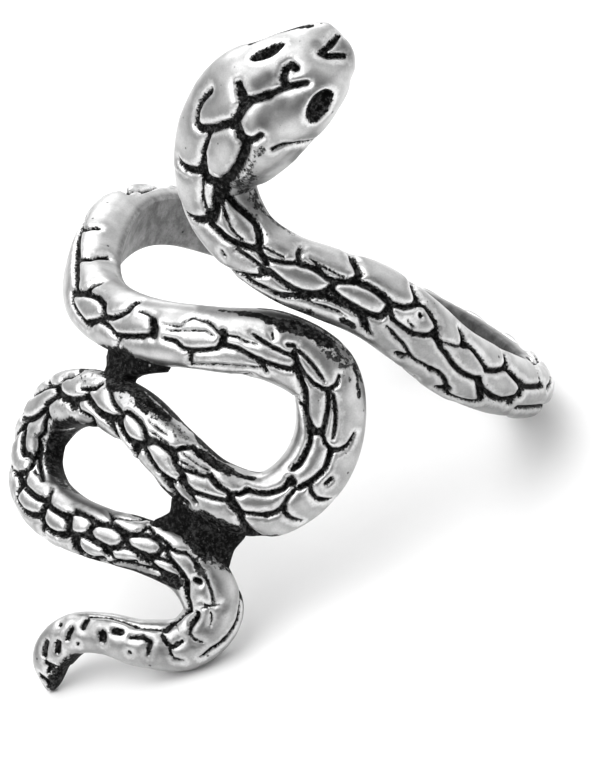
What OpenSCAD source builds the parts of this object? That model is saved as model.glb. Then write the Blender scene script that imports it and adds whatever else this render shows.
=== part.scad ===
// A snake that winds once round a finger, cast in one piece with raised scales.
// The snake is laid out on the finger: angle round it, height along it. It is then
// leaned over into the pose that it takes by itself on a flat surface, with +Z up.

/* [Finger opening] */
// Inside diameter of the ring
bore_d = 17.7; // [16:0.1:20]

/* [Scales] */
// Rows of scales across the back of the body
scale_rows = 5; // [3:2:5]
// Depth of the grooves between scales
groove_depth = 0.2; // [0.1:0.01:0.3]
// Width of a groove on each side of its middle
groove_half = 0.1; // [0.06:0.01:0.14]
// Crown of a scale over its rim
scale_crown = 0.06; // [0:0.01:0.12]

/* [Head] */
// Height of the back of the head off the finger
head_lift = 2.5; // [2:0.1:3]
// Turn of the head about its own length
head_roll = 4; // [-10:1:25]
// Depth of the eye sockets
eye_depth = 0.55; // [0.2:0.05:0.8]

/* [Rest] */
// Turn about the finger axis that brings the lowest side down
rest_spin = 220.9; // [0:0.1:360]
// Lean of the finger axis away from upright
rest_lean = 43.7; // [0:0.1:90]
// Turn on the surface
rest_turn = 104.8; // [0:0.1:360]
// Place of the middle of the finger opening across the surface
rest_x = 3.74; // [-10:0.01:10]
// Place of the middle of the finger opening along the surface
rest_y = 0.84; // [-10:0.01:10]
// Height of the middle of the finger opening over the surface
rest_height = 7.21; // [0:0.01:20]

/* [Hidden] */

bore_r = bore_d / 2;
// Facets round the finger opening
bore_steps = 120;

// Route of the snake from nose to tail tip, one row for each section.
PHI = 0;
HEIGHT = 1;
WIDTH = 2;
THICK = 3;
route = [
    [6, 13.5, 2.1, 1.35],
    [4, 12.9, 3.1, 2.05],
    [1.9, 12.0, 4.0, 2.7],
    [-0.9, 10.9, 4.75, 3.1],
    [-4.7, 9.8, 5.35, 3.3],
    [-8.4, 8.6, 5.3, 3.1],
    [-11.4, 7.45, 4.7, 2.8],
    [-12.4, 6.35, 3.85, 2.6],
    [-10.5, 5.2, 3.35, 2.4],
    [-2, 4.05, 2.9, 2.3],
    [9, 3.6, 2.95, 2.2],
    [20, 3.6, 3.1, 2.1],
    [32, 3.55, 3.25, 2.1],
    [44, 2.95, 3.2, 2.1],
    [57, 2.1, 3.1, 2.15],
    [71, 1.6, 3.0, 2.2],
    [86, 1.3, 2.7, 2.1],
    [102, 1.0, 2.5, 2.0],
    [119, 0.85, 2.3, 1.9],
    [138, 0.8, 2.2, 1.8],
    [158, 0.8, 2.2, 1.8],
    [178, 0.8, 2.2, 1.8],
    [198, 0.8, 2.2, 1.8],
    [218, 0.85, 2.3, 1.8],
    [238, 1.15, 2.5, 1.9],
    [255, 1.25, 2.7, 2.1],
    [271, 0.9, 2.8, 2.2],
    [285, 0.1, 2.8, 2.2],
    [297, -1.0, 2.8, 2.1],
    [311, -1.7, 2.8, 2.1],
    [327, -1.7, 2.8, 2.1],
    [343, -1.25, 2.8, 2.1],
    [359, -0.45, 2.85, 2.1],
    [374, 0.3, 3.05, 2.1],
    [387, -0.15, 3.05, 2.1],
    [393.5, -2.2, 2.95, 2.1],
    [393, -4.4, 2.9, 2.1],
    [385.5, -6.15, 2.8, 2.0],
    [372, -6.4, 2.7, 2.0],
    [358, -5.7, 2.6, 2.0],
    [344, -5.0, 2.5, 2.0],
    [330, -5.2, 2.5, 2.0],
    [316.3, -6.2, 2.6, 2.0],
    [308.3, -7.8, 2.9, 2.0],
    [311.5, -9.4, 2.65, 1.9],
    [322, -10.25, 2.5, 1.9],
    [335, -10.45, 2.45, 1.9],
    [348, -10.25, 2.4, 1.9],
    [361, -9.8, 2.35, 1.9],
    [374, -9.9, 2.5, 1.9],
    [382.5, -11.2, 2.6, 1.9],
    [379.5, -12.9, 2.35, 1.8],
    [369, -13.7, 2.05, 1.7],
    [359, -14.0, 1.8, 1.6],
    [350, -14.7, 1.8, 1.5],
    [345.8, -16.0, 1.75, 1.3],
    [347.5, -17.3, 0.9, 0.7],
];
last_row = len(route) - 1;
// Rows of the route where the neck starts to sink to the finger and where it has
neck_from = 2.5;
neck_to = 11.5;
// Rows of the route where the scales start and end
scales_from = 7;
scales_to = 50;
// Webs between neighbouring runs, each by its four corners as rows of the route
webs = [[30, 30.3, 40.7, 40.4], [37.2, 38.4, 49.5, 48.4]];
// Half the thickness of a web, and the facets round its edge
web_r = 0.45;
web_steps = 10;
// Share of the thickness that lies under the body's axis
under = 0.45;
// How full the section is over its back, over the head and under the belly: 1 is an ellipse
back_power = 0.9;
head_power = 0.78;
belly_power = 0.6;
// Stock under the belly that the finger opening is cut from
bore_stock = 0.3;
// Part of the way from flank to belly where that stock starts, full at twice it
stock_from = 1 / 3;
// Share of the head's lift at which none of it is left
stock_lift = 1 / 8;
// Rows by which the turn of the head runs on past its lift
roll_lag = 1.5;
// Step in rows from which the direction of the route is taken
slope_step = 0.01;

function ease(f) = let(g = min(max(f, 0), 1)) g * g * (3 - 2 * g);

function blend(p0, p1, p2, p3, f) =
    0.5 * (2 * p1 + (p2 - p0) * f + (2 * p0 - 5 * p1 + 4 * p2 - p3) * f ^ 2
    + (3 * p1 - p0 - 3 * p2 + p3) * f ^ 3);

// Section of the body at a place along the route, counted in rows
function section_at(t) =
    let(i = min(max(floor(t), 0), last_row - 1))
    let(p1 = route[i], p2 = route[i + 1])
    let(p0 = i > 0 ? route[i - 1] : 2 * p1 - p2)
    let(p3 = i + 2 <= last_row ? route[i + 2] : 2 * p2 - p1)
    blend(p0, p1, p2, p3, t - i);

function neck_share(t) = 1 - ease((t - neck_from) / (neck_to - neck_from));

function axis_point(t) =
    let(s = section_at(t))
    let(r = bore_r + head_lift * neck_share(t) + under * s[THICK])
    [r * sin(s[PHI]), -r * cos(s[PHI]), s[HEIGHT]];

function unit(v) = v / norm(v);

// Axis point, side and outward directions of the section at t
function frame_at(t) =
    let(s = section_at(t))
    let(along = unit(axis_point(t + slope_step) - axis_point(t - slope_step)))
    let(out0 = [sin(s[PHI]), -cos(s[PHI]), 0])
    let(side = unit(cross(along, out0)), out = cross(side, along))
    let(roll = head_roll * neck_share(t - roll_lag))
    [axis_point(t), side * cos(roll) - out * sin(roll), out * cos(roll) + side * sin(roll)];

function power(x, e) = sign(x) * abs(x) ^ e;

function stock_at(t, a) =
    bore_stock * ease(-cos(a) / stock_from - 1) * ease(1 - neck_share(t) / stock_lift);

// Point of the skin at angle a from the middle of the back, h over the plain skin
function skin_point(t, a, h) =
    let(s = section_at(t), f = frame_at(t))
    let(half_w = s[WIDTH] / 2 + h)
    let(high = (cos(a) > 0 ? 1 - under : under) * s[THICK] + h)
    let(fullness = back_power + (head_power - back_power) * neck_share(t))
    let(e = cos(a) > 0 ? fullness : belly_power)
    f[0] + f[1] * half_w * power(sin(a), e) + f[2] * (high + stock_at(t, a)) * power(cos(a), e);

// Length of a scale at rows of the route
scale_pitch = [[7, 2.2], [10, 2.6], [31, 2.6], [35, 2.1], [38, 1.75], [43, 1.55], [50, 1.6]];

// Running count of scales from the first to row i of the route
function count_to(i) = i <= scales_from ? 0 :
    count_to(i - 1) + norm(axis_point(i) - axis_point(i - 1)) / lookup(i - 0.5, scale_pitch);

counts = [for (i = [scales_from:scales_to]) [count_to(i), i]];
scale_count = floor(counts[len(counts) - 1][0]);
count_stretch = counts[len(counts) - 1][0] / scale_count;

// Place along the route of the scale joint number u
function route_at(u) = lookup(u * count_stretch, counts);

// Half of the angle that the rows of scales cover, and its length on the skin
scaled_half = 98;
scaled_long = 2.2;
// Share of a row by which the corners of a scale stand off the row's edge
zigzag = 0.25;
// Height of a row, as a share of the half angle
row_high = 2 / scale_rows;
// Strips round the belly, and all that go round the body
belly_parts = 6;
ring_parts = scale_rows + belly_parts;
// Lines of groove points: two for each scale
half_steps = 2 * scale_count;

// Corner of the staggered grid at row edge b and groove line m
function joint_side(b, m) = (m + b) % 2 == 0 ? 1 : -1;
function joint_v(b, m) = row_high * b - 1 + joint_side(b, m) * zigzag * row_high;

function belly_angle(c) = scaled_half + c * (360 - 2 * scaled_half) / belly_parts;

// One line of groove points across the back, then on round the belly
function groove_line(m) = concat(
    [for (b = [0:scale_rows])
        skin_point(route_at(m / 2), joint_v(b, m) * scaled_half, -groove_depth)],
    [for (c = [1:belly_parts - 1])
        skin_point(route_at(m / 2), belly_angle(c), 0)]
);

// Half groove as a share of the half angle
rim_v = groove_half / scaled_long;
// Corners of a scale: step along, edge across, then pull along and across to its middle
SCALE_CORNERS = [[0, 0, 1, 1], [1, 0, 0, 1.3], [2, 0, -1, 1], [2, 1, -1, -1], [1, 1, 0, -1.3], [0, 1, 1, -1]];

function rim_point(k, m, c) =
    let(t = route_at((m + c[0]) / 2 + c[2] * groove_half / lookup(route_at(m / 2), scale_pitch)))
    skin_point(t, (joint_v(k + c[1], m + c[0]) + c[3] * rim_v) * scaled_half, 0);

function scale_points(k, m) = concat(
    [for (c = SCALE_CORNERS) rim_point(k, m, c)],
    [skin_point(route_at(m / 2 + 0.5), (row_high * (k + 0.5) - 1) * scaled_half, scale_crown)]
);

corner_count = len(SCALE_CORNERS);
// Each scale as its row and its first groove line
scales = [for (k = [0:scale_rows - 1]) for (m = [k % 2:2:half_steps - 2]) [k, m]];

// Angles round a ring with so many points for each row of scales and each belly strip
function ring_angles(per_row, per_strip) = concat(
    [for (b = [0:scale_rows - 1]) for (j = [0:per_row - 1])
        (row_high * (b + j / per_row) - 1) * scaled_half],
    [for (c = [0:belly_parts - 1]) for (j = [0:per_strip - 1])
        belly_angle(c + j / per_strip)]
);

// First point on such a ring of its row or strip b
function ring_start(b, per_row, per_strip) =
    min(b, scale_rows) * per_row + max(b - scale_rows, 0) * per_strip;

// Eye sockets: row of the route, angle off the top, half length in rows, half height in degrees
eyes = [[2.57, 32, 0.52, 8], [2.3, -56, 0.45, 17]];
// Edge of a socket and the width of its wall, as shares of its half sizes
socket_edge = 1.3;
socket_wall = 0.5;
function socket(e, t, a) = eye_depth
    * ease((socket_edge - norm([(t - e[0]) / e[2], (a - e[1]) / e[3]])) / socket_wall);

// Grooves between the plates of the head, each a run of row and angle
head_grooves = [
    [[0.3, 18], [1.2, -4], [0.5, -20]],
    [[2.2, -9], [2.6, -3], [2.6, 6], [2.3, 9]],
    [[2.6, -3], [3.7, 0], [3.7, 10]],
    [[3.7, 0], [4.25, -9], [5.05, 0], [5.4, 9], [5.1, 18], [4.5, 24]],
    [[4.25, -9], [4.15, -21], [3.8, -33]],
    [[4.15, -21], [4.4, -39], [5.15, -51], [6.2, -42], [6.6, -18], [5.9, -9], [5.05, 0]],
    [[5.9, -12], [6.6, 4], [6.7, 22]],
    [[4, -52], [3.2, -78], [2.2, -84]],
];
// Size on the skin of one row of the route and of one degree
row_long = 1.15;
degree_long = 0.043;
function on_skin(p) = [p[0] * row_long, p[1] * degree_long];
function gap_to(p, q0, q1) =
    let(along = q1 - q0, f = min(max((p - q0) * along / (along * along), 0), 1))
    norm(p - q0 - f * along);
function gap_to_grooves(p) = min([for (g = head_grooves) for (i = [1:len(g) - 1])
    gap_to(p, on_skin(g[i - 1]), on_skin(g[i]))]);
// Height of the head's skin: a groove is full to half its width and gone at twice that
function head_cut(t, a) = -max(
    groove_depth * ease(2 - gap_to_grooves(on_skin([t, a])) / groove_half),
    max([for (e = eyes) socket(e, t, a)])
);

// Points of a head ring for each row of scales and each belly strip, and the rings
head_per_row = 8;
head_per_strip = 2;
head_angles = ring_angles(head_per_row, head_per_strip);
head_ring = len(head_angles);
head_rings = 38;
head_points = [for (i = [0:head_rings - 1]) for (a = head_angles)
    let(t = scales_from * i / head_rings) skin_point(t, a, head_cut(t, a))];

// The same for the tail
tail_per_part = 2;
tail_angles = ring_angles(tail_per_part, tail_per_part);
tail_ring = len(tail_angles);
tail_rings = 14;
tail_points = [for (i = [1:tail_rings]) for (a = tail_angles)
    skin_point(scales_to + (last_row - scales_to) * i / tail_rings, a, 0)];

// Ends of the snake: the nose's row and drop, and how far the tail tip runs on
nose_row = -0.25;
nose_drop = 0.4;
tail_run = 0.2;

groove_points = [for (m = [0:half_steps]) each groove_line(m)];
tops = [for (s = scales) each scale_points(s[0], s[1])];

// Numbers of the first point of each part of the body
head_base = len(groove_points);
tail_base = head_base + len(head_points);
tops_base = tail_base + len(tail_points);
nose_tip = tops_base + len(tops);
tail_tip = nose_tip + 1;

// Number of the groove point at edge b of groove line m
function g(b, m) = m * ring_parts + b % ring_parts;

// Faces of one scale: sloping sides up from the groove, then the crowned top
function scale_faces(i) =
    let(k = scales[i][0], m = scales[i][1], base = tops_base + (corner_count + 1) * i)
    let(low = [for (c = SCALE_CORNERS) g(k + c[1], m + c[0])])
    [for (j = [0:corner_count - 1]) let(n = (j + 1) % corner_count) each [
        [low[j], low[n], base + n],
        [low[j], base + n, base + j],
        [base + j, base + n, base + corner_count]
    ]];

// Half scales that fill the staggered rows at both ends
end_fills = [for (k = [1:2:scale_rows - 1]) for (m = [0, half_steps - 1])
    each [[g(k, m), g(k, m + 1), g(k + 1, m + 1)], [g(k, m), g(k + 1, m + 1), g(k + 1, m)]]];

belly_faces = [for (m = [0:half_steps - 1]) for (b = [scale_rows:ring_parts - 1])
    each [[g(b, m), g(b, m + 1), g(b + 1, m + 1)], [g(b, m), g(b + 1, m + 1), g(b + 1, m)]]];

// Faces of a run of rings that start at point number base
function ring_faces(base, rings, size) = [for (i = [0:rings - 2]) for (j = [0:size - 1])
    let(n = (j + 1) % size, a = base + i * size, b = a + size)
    each [[a + j, b + j, b + n], [a + j, b + n, a + n]]];

// Faces that join a fine ring, which starts at point number base, to the groove line m
function join_faces(base, per_row, per_strip, m, flip) =
    let(size = ring_start(ring_parts, per_row, per_strip))
    [for (b = [0:ring_parts - 1])
        let(from = ring_start(b, per_row, per_strip), to = ring_start(b + 1, per_row, per_strip))
        each concat(
            [for (j = [from:to - 1])
                let(p = base + j, q = base + (j + 1) % size)
                flip ? [p, q, g(b, m)] : [p, g(b, m), q]],
            let(q = base + to % size)
            [flip ? [q, g(b + 1, m), g(b, m)] : [q, g(b, m), g(b + 1, m)]]
        )];

// Faces that close a ring, which starts at point number base, on a tip
function fan_faces(base, size, tip, flip) = [for (j = [0:size - 1])
    let(n = (j + 1) % size) flip ? [base + n, base + j, tip] : [base + j, base + n, tip]];

module snake_body() {
    polyhedron(
        points = concat(groove_points, head_points, tail_points, tops,
            [skin_point(nose_row, 0, -nose_drop), axis_point(last_row + tail_run)]),
        faces = concat(
            [for (i = [0:len(scales) - 1]) each scale_faces(i)],
            end_fills,
            belly_faces,
            ring_faces(head_base, head_rings, head_ring),
            ring_faces(tail_base, tail_rings, tail_ring),
            join_faces(head_base + len(head_points) - head_ring, head_per_row, head_per_strip, 0, false),
            join_faces(tail_base, tail_per_part, tail_per_part, half_steps, true),
            fan_faces(head_base, head_ring, nose_tip, false),
            fan_faces(tail_base + len(tail_points) - tail_ring, tail_ring, tail_tip, true)
        )
    );
}

// Cast web that joins two runs of the body between four places on its axis
module web(corners) {
    hull()
        for (t = corners)
            translate(axis_point(t))
                sphere(r = web_r, $fn = web_steps);
}

// Lays the ring down from upright on its finger axis to the way that it rests
module at_rest() {
    translate([rest_x, rest_y, rest_height])
        rotate([0, 0, rest_turn])
            rotate([rest_lean, 0, 0])
                rotate([0, 0, rest_spin])
                    children();
}

module snake_ring() {
    color("silver")
        at_rest()
            difference() {
                union() {
                    snake_body();
                    for (w = webs)
                        web(w);
                }
                cylinder(h = 3 * bore_d, r = bore_r, center = true, $fn = bore_steps);
            }
}
snake_ring();
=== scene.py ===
import logging
import math
from dataclasses import dataclass
from enum import Enum
from typing import ClassVar

import bpy
import numpy as np
from mathutils import Matrix, Vector


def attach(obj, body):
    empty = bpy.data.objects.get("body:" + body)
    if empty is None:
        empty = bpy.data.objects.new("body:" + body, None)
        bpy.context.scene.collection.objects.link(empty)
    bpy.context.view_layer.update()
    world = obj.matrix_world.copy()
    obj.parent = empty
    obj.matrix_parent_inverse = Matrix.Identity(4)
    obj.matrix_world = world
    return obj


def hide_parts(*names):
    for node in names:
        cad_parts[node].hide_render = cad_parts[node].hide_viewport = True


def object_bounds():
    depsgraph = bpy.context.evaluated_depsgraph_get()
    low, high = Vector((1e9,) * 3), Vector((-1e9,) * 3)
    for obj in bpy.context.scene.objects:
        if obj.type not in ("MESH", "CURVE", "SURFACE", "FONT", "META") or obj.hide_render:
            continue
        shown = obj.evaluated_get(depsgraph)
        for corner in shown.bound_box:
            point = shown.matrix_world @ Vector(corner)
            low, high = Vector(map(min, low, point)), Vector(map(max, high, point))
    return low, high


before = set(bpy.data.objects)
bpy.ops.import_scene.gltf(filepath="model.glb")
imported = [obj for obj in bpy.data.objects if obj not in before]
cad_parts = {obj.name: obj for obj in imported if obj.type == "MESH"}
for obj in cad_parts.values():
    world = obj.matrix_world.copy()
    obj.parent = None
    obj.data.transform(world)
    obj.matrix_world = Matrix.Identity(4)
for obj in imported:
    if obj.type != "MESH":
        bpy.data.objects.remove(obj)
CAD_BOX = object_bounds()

log = logging.getLogger("snake_ring")

MM = 0.001
NODE = "snake_ring"
BODY = "root"

# Points on the skin, each as row of the route and angle off the middle of the back
Line = tuple[tuple[float, float], ...]
# Where a change starts and where it is complete
Span = tuple[float, float]
# Two numbers that work together, as their comment says
Pair = tuple[float, float]

FAR = 9.0  # millimetres, farther than any mark on the skin reaches
NO_ZERO = 1e-9  # added to what is divided by, so that it is never zero
NO_LENGTH = 1e-12  # the same for the length of a direction
MARKS = ("gap", "stain", "film", "bore")  # what the mesh tells its finish

# Settings of the shader nodes that come again and again
SOFT = {"interpolation_type": "SMOOTHSTEP"}
ADD, TIMES, MINUS = {"operation": "ADD"}, {"operation": "MULTIPLY"}, {"operation": "SUBTRACT"}
TIMES_ADD = {"operation": "MULTIPLY_ADD"}
LARGER = {"operation": "MAXIMUM", "use_clamp": True}
MIX_COLOUR, MIX_VALUE = {"data_type": "RGBA"}, {"data_type": "FLOAT"}
TINT = {"data_type": "RGBA", "blend_type": "MULTIPLY"}

# Columns of the route: angle round the finger, height along it, width and thickness of the body
PHI, HEIGHT, WIDTH, THICK = range(4)
ROUTE = np.array([
    (6, 13.5, 2.1, 1.35), (4, 12.9, 3.1, 2.05), (1.9, 12.0, 4.0, 2.7), (-0.9, 10.9, 4.75, 3.1),
    (-4.7, 9.8, 5.35, 3.3), (-8.4, 8.6, 5.3, 3.1), (-11.4, 7.45, 4.7, 2.8),
    (-12.4, 6.35, 3.85, 2.6), (-10.5, 5.2, 3.35, 2.4), (-2, 4.05, 2.9, 2.3), (9, 3.6, 2.95, 2.2),
    (20, 3.6, 3.1, 2.1), (32, 3.55, 3.25, 2.1), (44, 2.95, 3.2, 2.1), (57, 2.1, 3.1, 2.15),
    (71, 1.6, 3.0, 2.2), (86, 1.3, 2.7, 2.1), (102, 1.0, 2.5, 2.0), (119, 0.85, 2.3, 1.9),
    (138, 0.8, 2.2, 1.8), (158, 0.8, 2.2, 1.8), (178, 0.8, 2.2, 1.8), (198, 0.8, 2.2, 1.8),
    (218, 0.85, 2.3, 1.8), (238, 1.15, 2.5, 1.9), (255, 1.25, 2.7, 2.1), (271, 0.9, 2.8, 2.2),
    (285, 0.1, 2.8, 2.2), (297, -1.0, 2.8, 2.1), (311, -1.7, 2.8, 2.1), (327, -1.7, 2.8, 2.1),
    (343, -1.25, 2.8, 2.1), (359, -0.45, 2.85, 2.1), (374, 0.3, 3.05, 2.1),
    (387, -0.15, 3.05, 2.1), (393.5, -2.2, 2.95, 2.1), (393, -4.4, 2.9, 2.1),
    (385.5, -6.15, 2.8, 2.0), (372, -6.4, 2.7, 2.0), (358, -5.7, 2.6, 2.0), (344, -5.0, 2.5, 2.0),
    (330, -5.2, 2.5, 2.0), (316.3, -6.2, 2.6, 2.0), (308.3, -7.8, 2.9, 2.0),
    (311.5, -9.4, 2.65, 1.9), (322, -10.25, 2.5, 1.9), (335, -10.45, 2.45, 1.9),
    (348, -10.25, 2.4, 1.9), (361, -9.8, 2.35, 1.9), (374, -9.9, 2.5, 1.9),
    (382.5, -11.2, 2.6, 1.9), (379.5, -12.9, 2.35, 1.8), (369, -13.7, 2.05, 1.7),
    (359, -14.0, 1.8, 1.6), (350, -14.7, 1.8, 1.5), (345.8, -16.0, 1.75, 1.3),
    (347.5, -17.3, 0.9, 0.7),
])
LAST_ROW = len(ROUTE) - 1

# Where the scales are cut along listed grooves: rows of the route, and the angles between which
# they are
HAND_ROWS = (8.6, 9, 10, 12, 14, 16, 17, 17.6)
HAND_LOW = (-108, -105, -99, -93, -84, -84, -84, -80)
HAND_HIGH = (60, 68, 74, 80, 84, 70, 30, -60)
LOOP_ROWS = (26.4, 28, 29, 30, 31, 33, 34, 35, 36, 38, 40, 41, 42, 43, 44, 45, 46, 48, 50)
LOOP_LOW = (-150, -141, -114, -93, -86, -96, -87, -75, -71, -75, -68, -84, -120, -144, -135, -117,
            -99, -96, -86)
LOOP_HIGH = (-20, 6, 45, 72, 82, 76, 80, 97, 103, 97, 103, 82, 45, 18, 24, 51, 69, 76, 85)
HAND_ZONES = ((HAND_ROWS, HAND_LOW, HAND_HIGH), (LOOP_ROWS, LOOP_LOW, LOOP_HIGH))


def linear(hex_code: str) -> tuple[float, float, float, float]:
    """Turns an sRGB hex colour into linear light, with the numbers of the sRGB standard.

    Args:
        hex_code: Six hex digits.

    Returns:
        Red, green, blue and full opacity.
    """
    parts = [int(hex_code[i:i + 2], 16) / 255 for i in (0, 2, 4)]
    light = (p / 12.92 if p <= 0.04045 else ((p + 0.055) / 1.055) ** 2.4 for p in parts)
    return (*light, 1.0)


def add_node(tree: bpy.types.NodeTree, kind: str, settings: dict | None = None,
             inputs: dict | tuple = ()) -> bpy.types.Node:
    """Adds a node with its settings, values and links.

    Args:
        tree: Tree that gets the node.
        kind: Type of the node.
        settings: Attributes of the node.
        inputs: What each input gets, by name or number, or in order from the first one: a value,
            a socket to link from, or a node, which is linked from its first live output.

    Returns:
        The new node.
    """
    made = tree.nodes.new(kind)
    for name, value in (settings or {}).items():
        setattr(made, name, value)
    for name, value in inputs.items() if isinstance(inputs, dict) else enumerate(inputs):
        if isinstance(value, bpy.types.Node):
            value = next(socket for socket in value.outputs if socket.enabled)
        if isinstance(value, bpy.types.NodeSocket):
            tree.links.new(value, made.inputs[name])
        else:
            made.inputs[name].default_value = value
    return made


def new_tree(owner: bpy.types.Material | bpy.types.World) -> bpy.types.NodeTree:
    """Gives a material or the world an empty node tree.

    Args:
        owner: The material or the world.

    Returns:
        Its node tree.
    """
    owner.use_nodes = True
    owner.node_tree.nodes.clear()
    return owner.node_tree


@dataclass(frozen=True)
class Ramp:
    """Change of a tone from start to end, while a mark goes from low to high."""

    low: float
    high: float
    start: float
    end: float

    def on(self, mark: bpy.types.Node | bpy.types.NodeSocket) -> tuple:
        """Inputs that make a node follow this change of the mark."""
        return mark, self.low, self.high, self.start, self.end


@dataclass(frozen=True)
class Cloud:
    """Cloudy pattern: size of its lumps in millimetres, and how much finer detail it has."""

    lump_mm: float
    detail: float
    finer: float

    def at(self, place: bpy.types.NodeSocket) -> dict:
        """Inputs that make a noise texture draw this pattern at the given places."""
        return {"Vector": place, "Scale": 1 / (self.lump_mm * MM), "Detail": self.detail,
                "Roughness": self.finer}


def smooth(low: float, high: float, x: np.ndarray) -> np.ndarray:
    """Smooth step of x from 0 at low to 1 at high."""
    f = np.clip((x - low) / (high - low), 0, 1)
    return f * f * (3 - 2 * f)


def power(x: np.ndarray, e: np.ndarray | float) -> np.ndarray:
    """Power of x that keeps its sign."""
    return np.sign(x) * np.abs(x) ** e


def blend(a: np.ndarray, b: np.ndarray, width: float) -> np.ndarray:
    """Lower of two distances, rounded off where both are nearly equal."""
    f = np.clip(0.5 + 0.5 * (b - a) / width, 0, 1)
    return b + (a - b) * f - width * f * (1 - f)


def unit(v: np.ndarray) -> np.ndarray:
    """Vectors along v of length 1."""
    return v / (np.linalg.norm(v, axis=-1, keepdims=True) + NO_LENGTH)


def curve(p0: np.ndarray, p1: np.ndarray, p2: np.ndarray, p3: np.ndarray,
          f: np.ndarray | float) -> np.ndarray:
    """Place at share f of the way from p1 to p2, on a smooth curve through all four points."""
    return 0.5 * (2 * p1 + (p2 - p0) * f + (2 * p0 - 5 * p1 + 4 * p2 - p3) * f ** 2
                  + (3 * p1 - p0 - 3 * p2 + p3) * f ** 3)


class Grain:
    """Smooth random field with a fixed seed."""

    cells: int = 64

    def __init__(self, seed: int) -> None:
        """Draws the field's lattice."""
        self.table = np.random.default_rng(seed).random((self.cells,) * 3) * 2 - 1

    def at(self, points: np.ndarray, size: float) -> np.ndarray:
        """Value of the field.

        Args:
            points: Points in millimetres, with x, y and z last.
            size: Size of one lump in millimetres.

        Returns:
            Values from -1 to 1.
        """
        p = points / size
        i = np.floor(p).astype(int)
        f = p - i
        f = f * f * (3 - 2 * f)
        total = 0
        for dx in (0, 1):
            for dy in (0, 1):
                for dz in (0, 1):
                    share = ((f[..., 0] if dx else 1 - f[..., 0])
                             * (f[..., 1] if dy else 1 - f[..., 1])
                             * (f[..., 2] if dz else 1 - f[..., 2]))
                    x, y, z = (i[..., k] + d for k, d in enumerate((dx, dy, dz)))
                    total = total + share * self.table[x % self.cells, y % self.cells,
                                                       z % self.cells]
        return total


@dataclass(frozen=True)
class Ripple:
    """One use of the random field, all in millimetres.

    It says how deep the field reaches, how big its lumps are, and how far it is moved so that two
    uses don't look alike.
    """

    deep: float
    lump: float
    moved: float = 0.0

    def at(self, grain: Grain, points: np.ndarray) -> np.ndarray:
        """Value at the given points, from -deep to deep."""
        return self.deep * grain.at(points + self.moved, self.lump)


@dataclass(frozen=True)
class Rest:
    """The way that the ring lies: turns in degrees and the place of its middle in millimetres."""

    spin: float = 220.9
    lean: float = 43.7
    turn: float = 104.8
    middle: tuple[float, float, float] = (3.74, 0.84, 7.21)

    def turned(self, v: np.ndarray) -> np.ndarray:
        """Turns vectors from the finger's own frame into the ring's resting frame.

        Args:
            v: Vectors, with x, y and z last.

        Returns:
            The turned vectors.
        """
        s, n, t = (math.radians(d) for d in (self.spin, self.lean, self.turn))
        spin, turn = (np.array([(math.cos(a), -math.sin(a), 0), (math.sin(a), math.cos(a), 0),
                                (0, 0, 1)]) for a in (s, t))
        lean = np.array([(1, 0, 0), (0, math.cos(n), -math.sin(n)), (0, math.sin(n), math.cos(n))])
        return np.asarray(v) @ (turn @ lean @ spin).T

    def laid(self, points: np.ndarray) -> np.ndarray:
        """Lays points down, from millimetres on the finger to metres on the surface."""
        return (self.turned(points) + np.array(self.middle)) * MM


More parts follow.
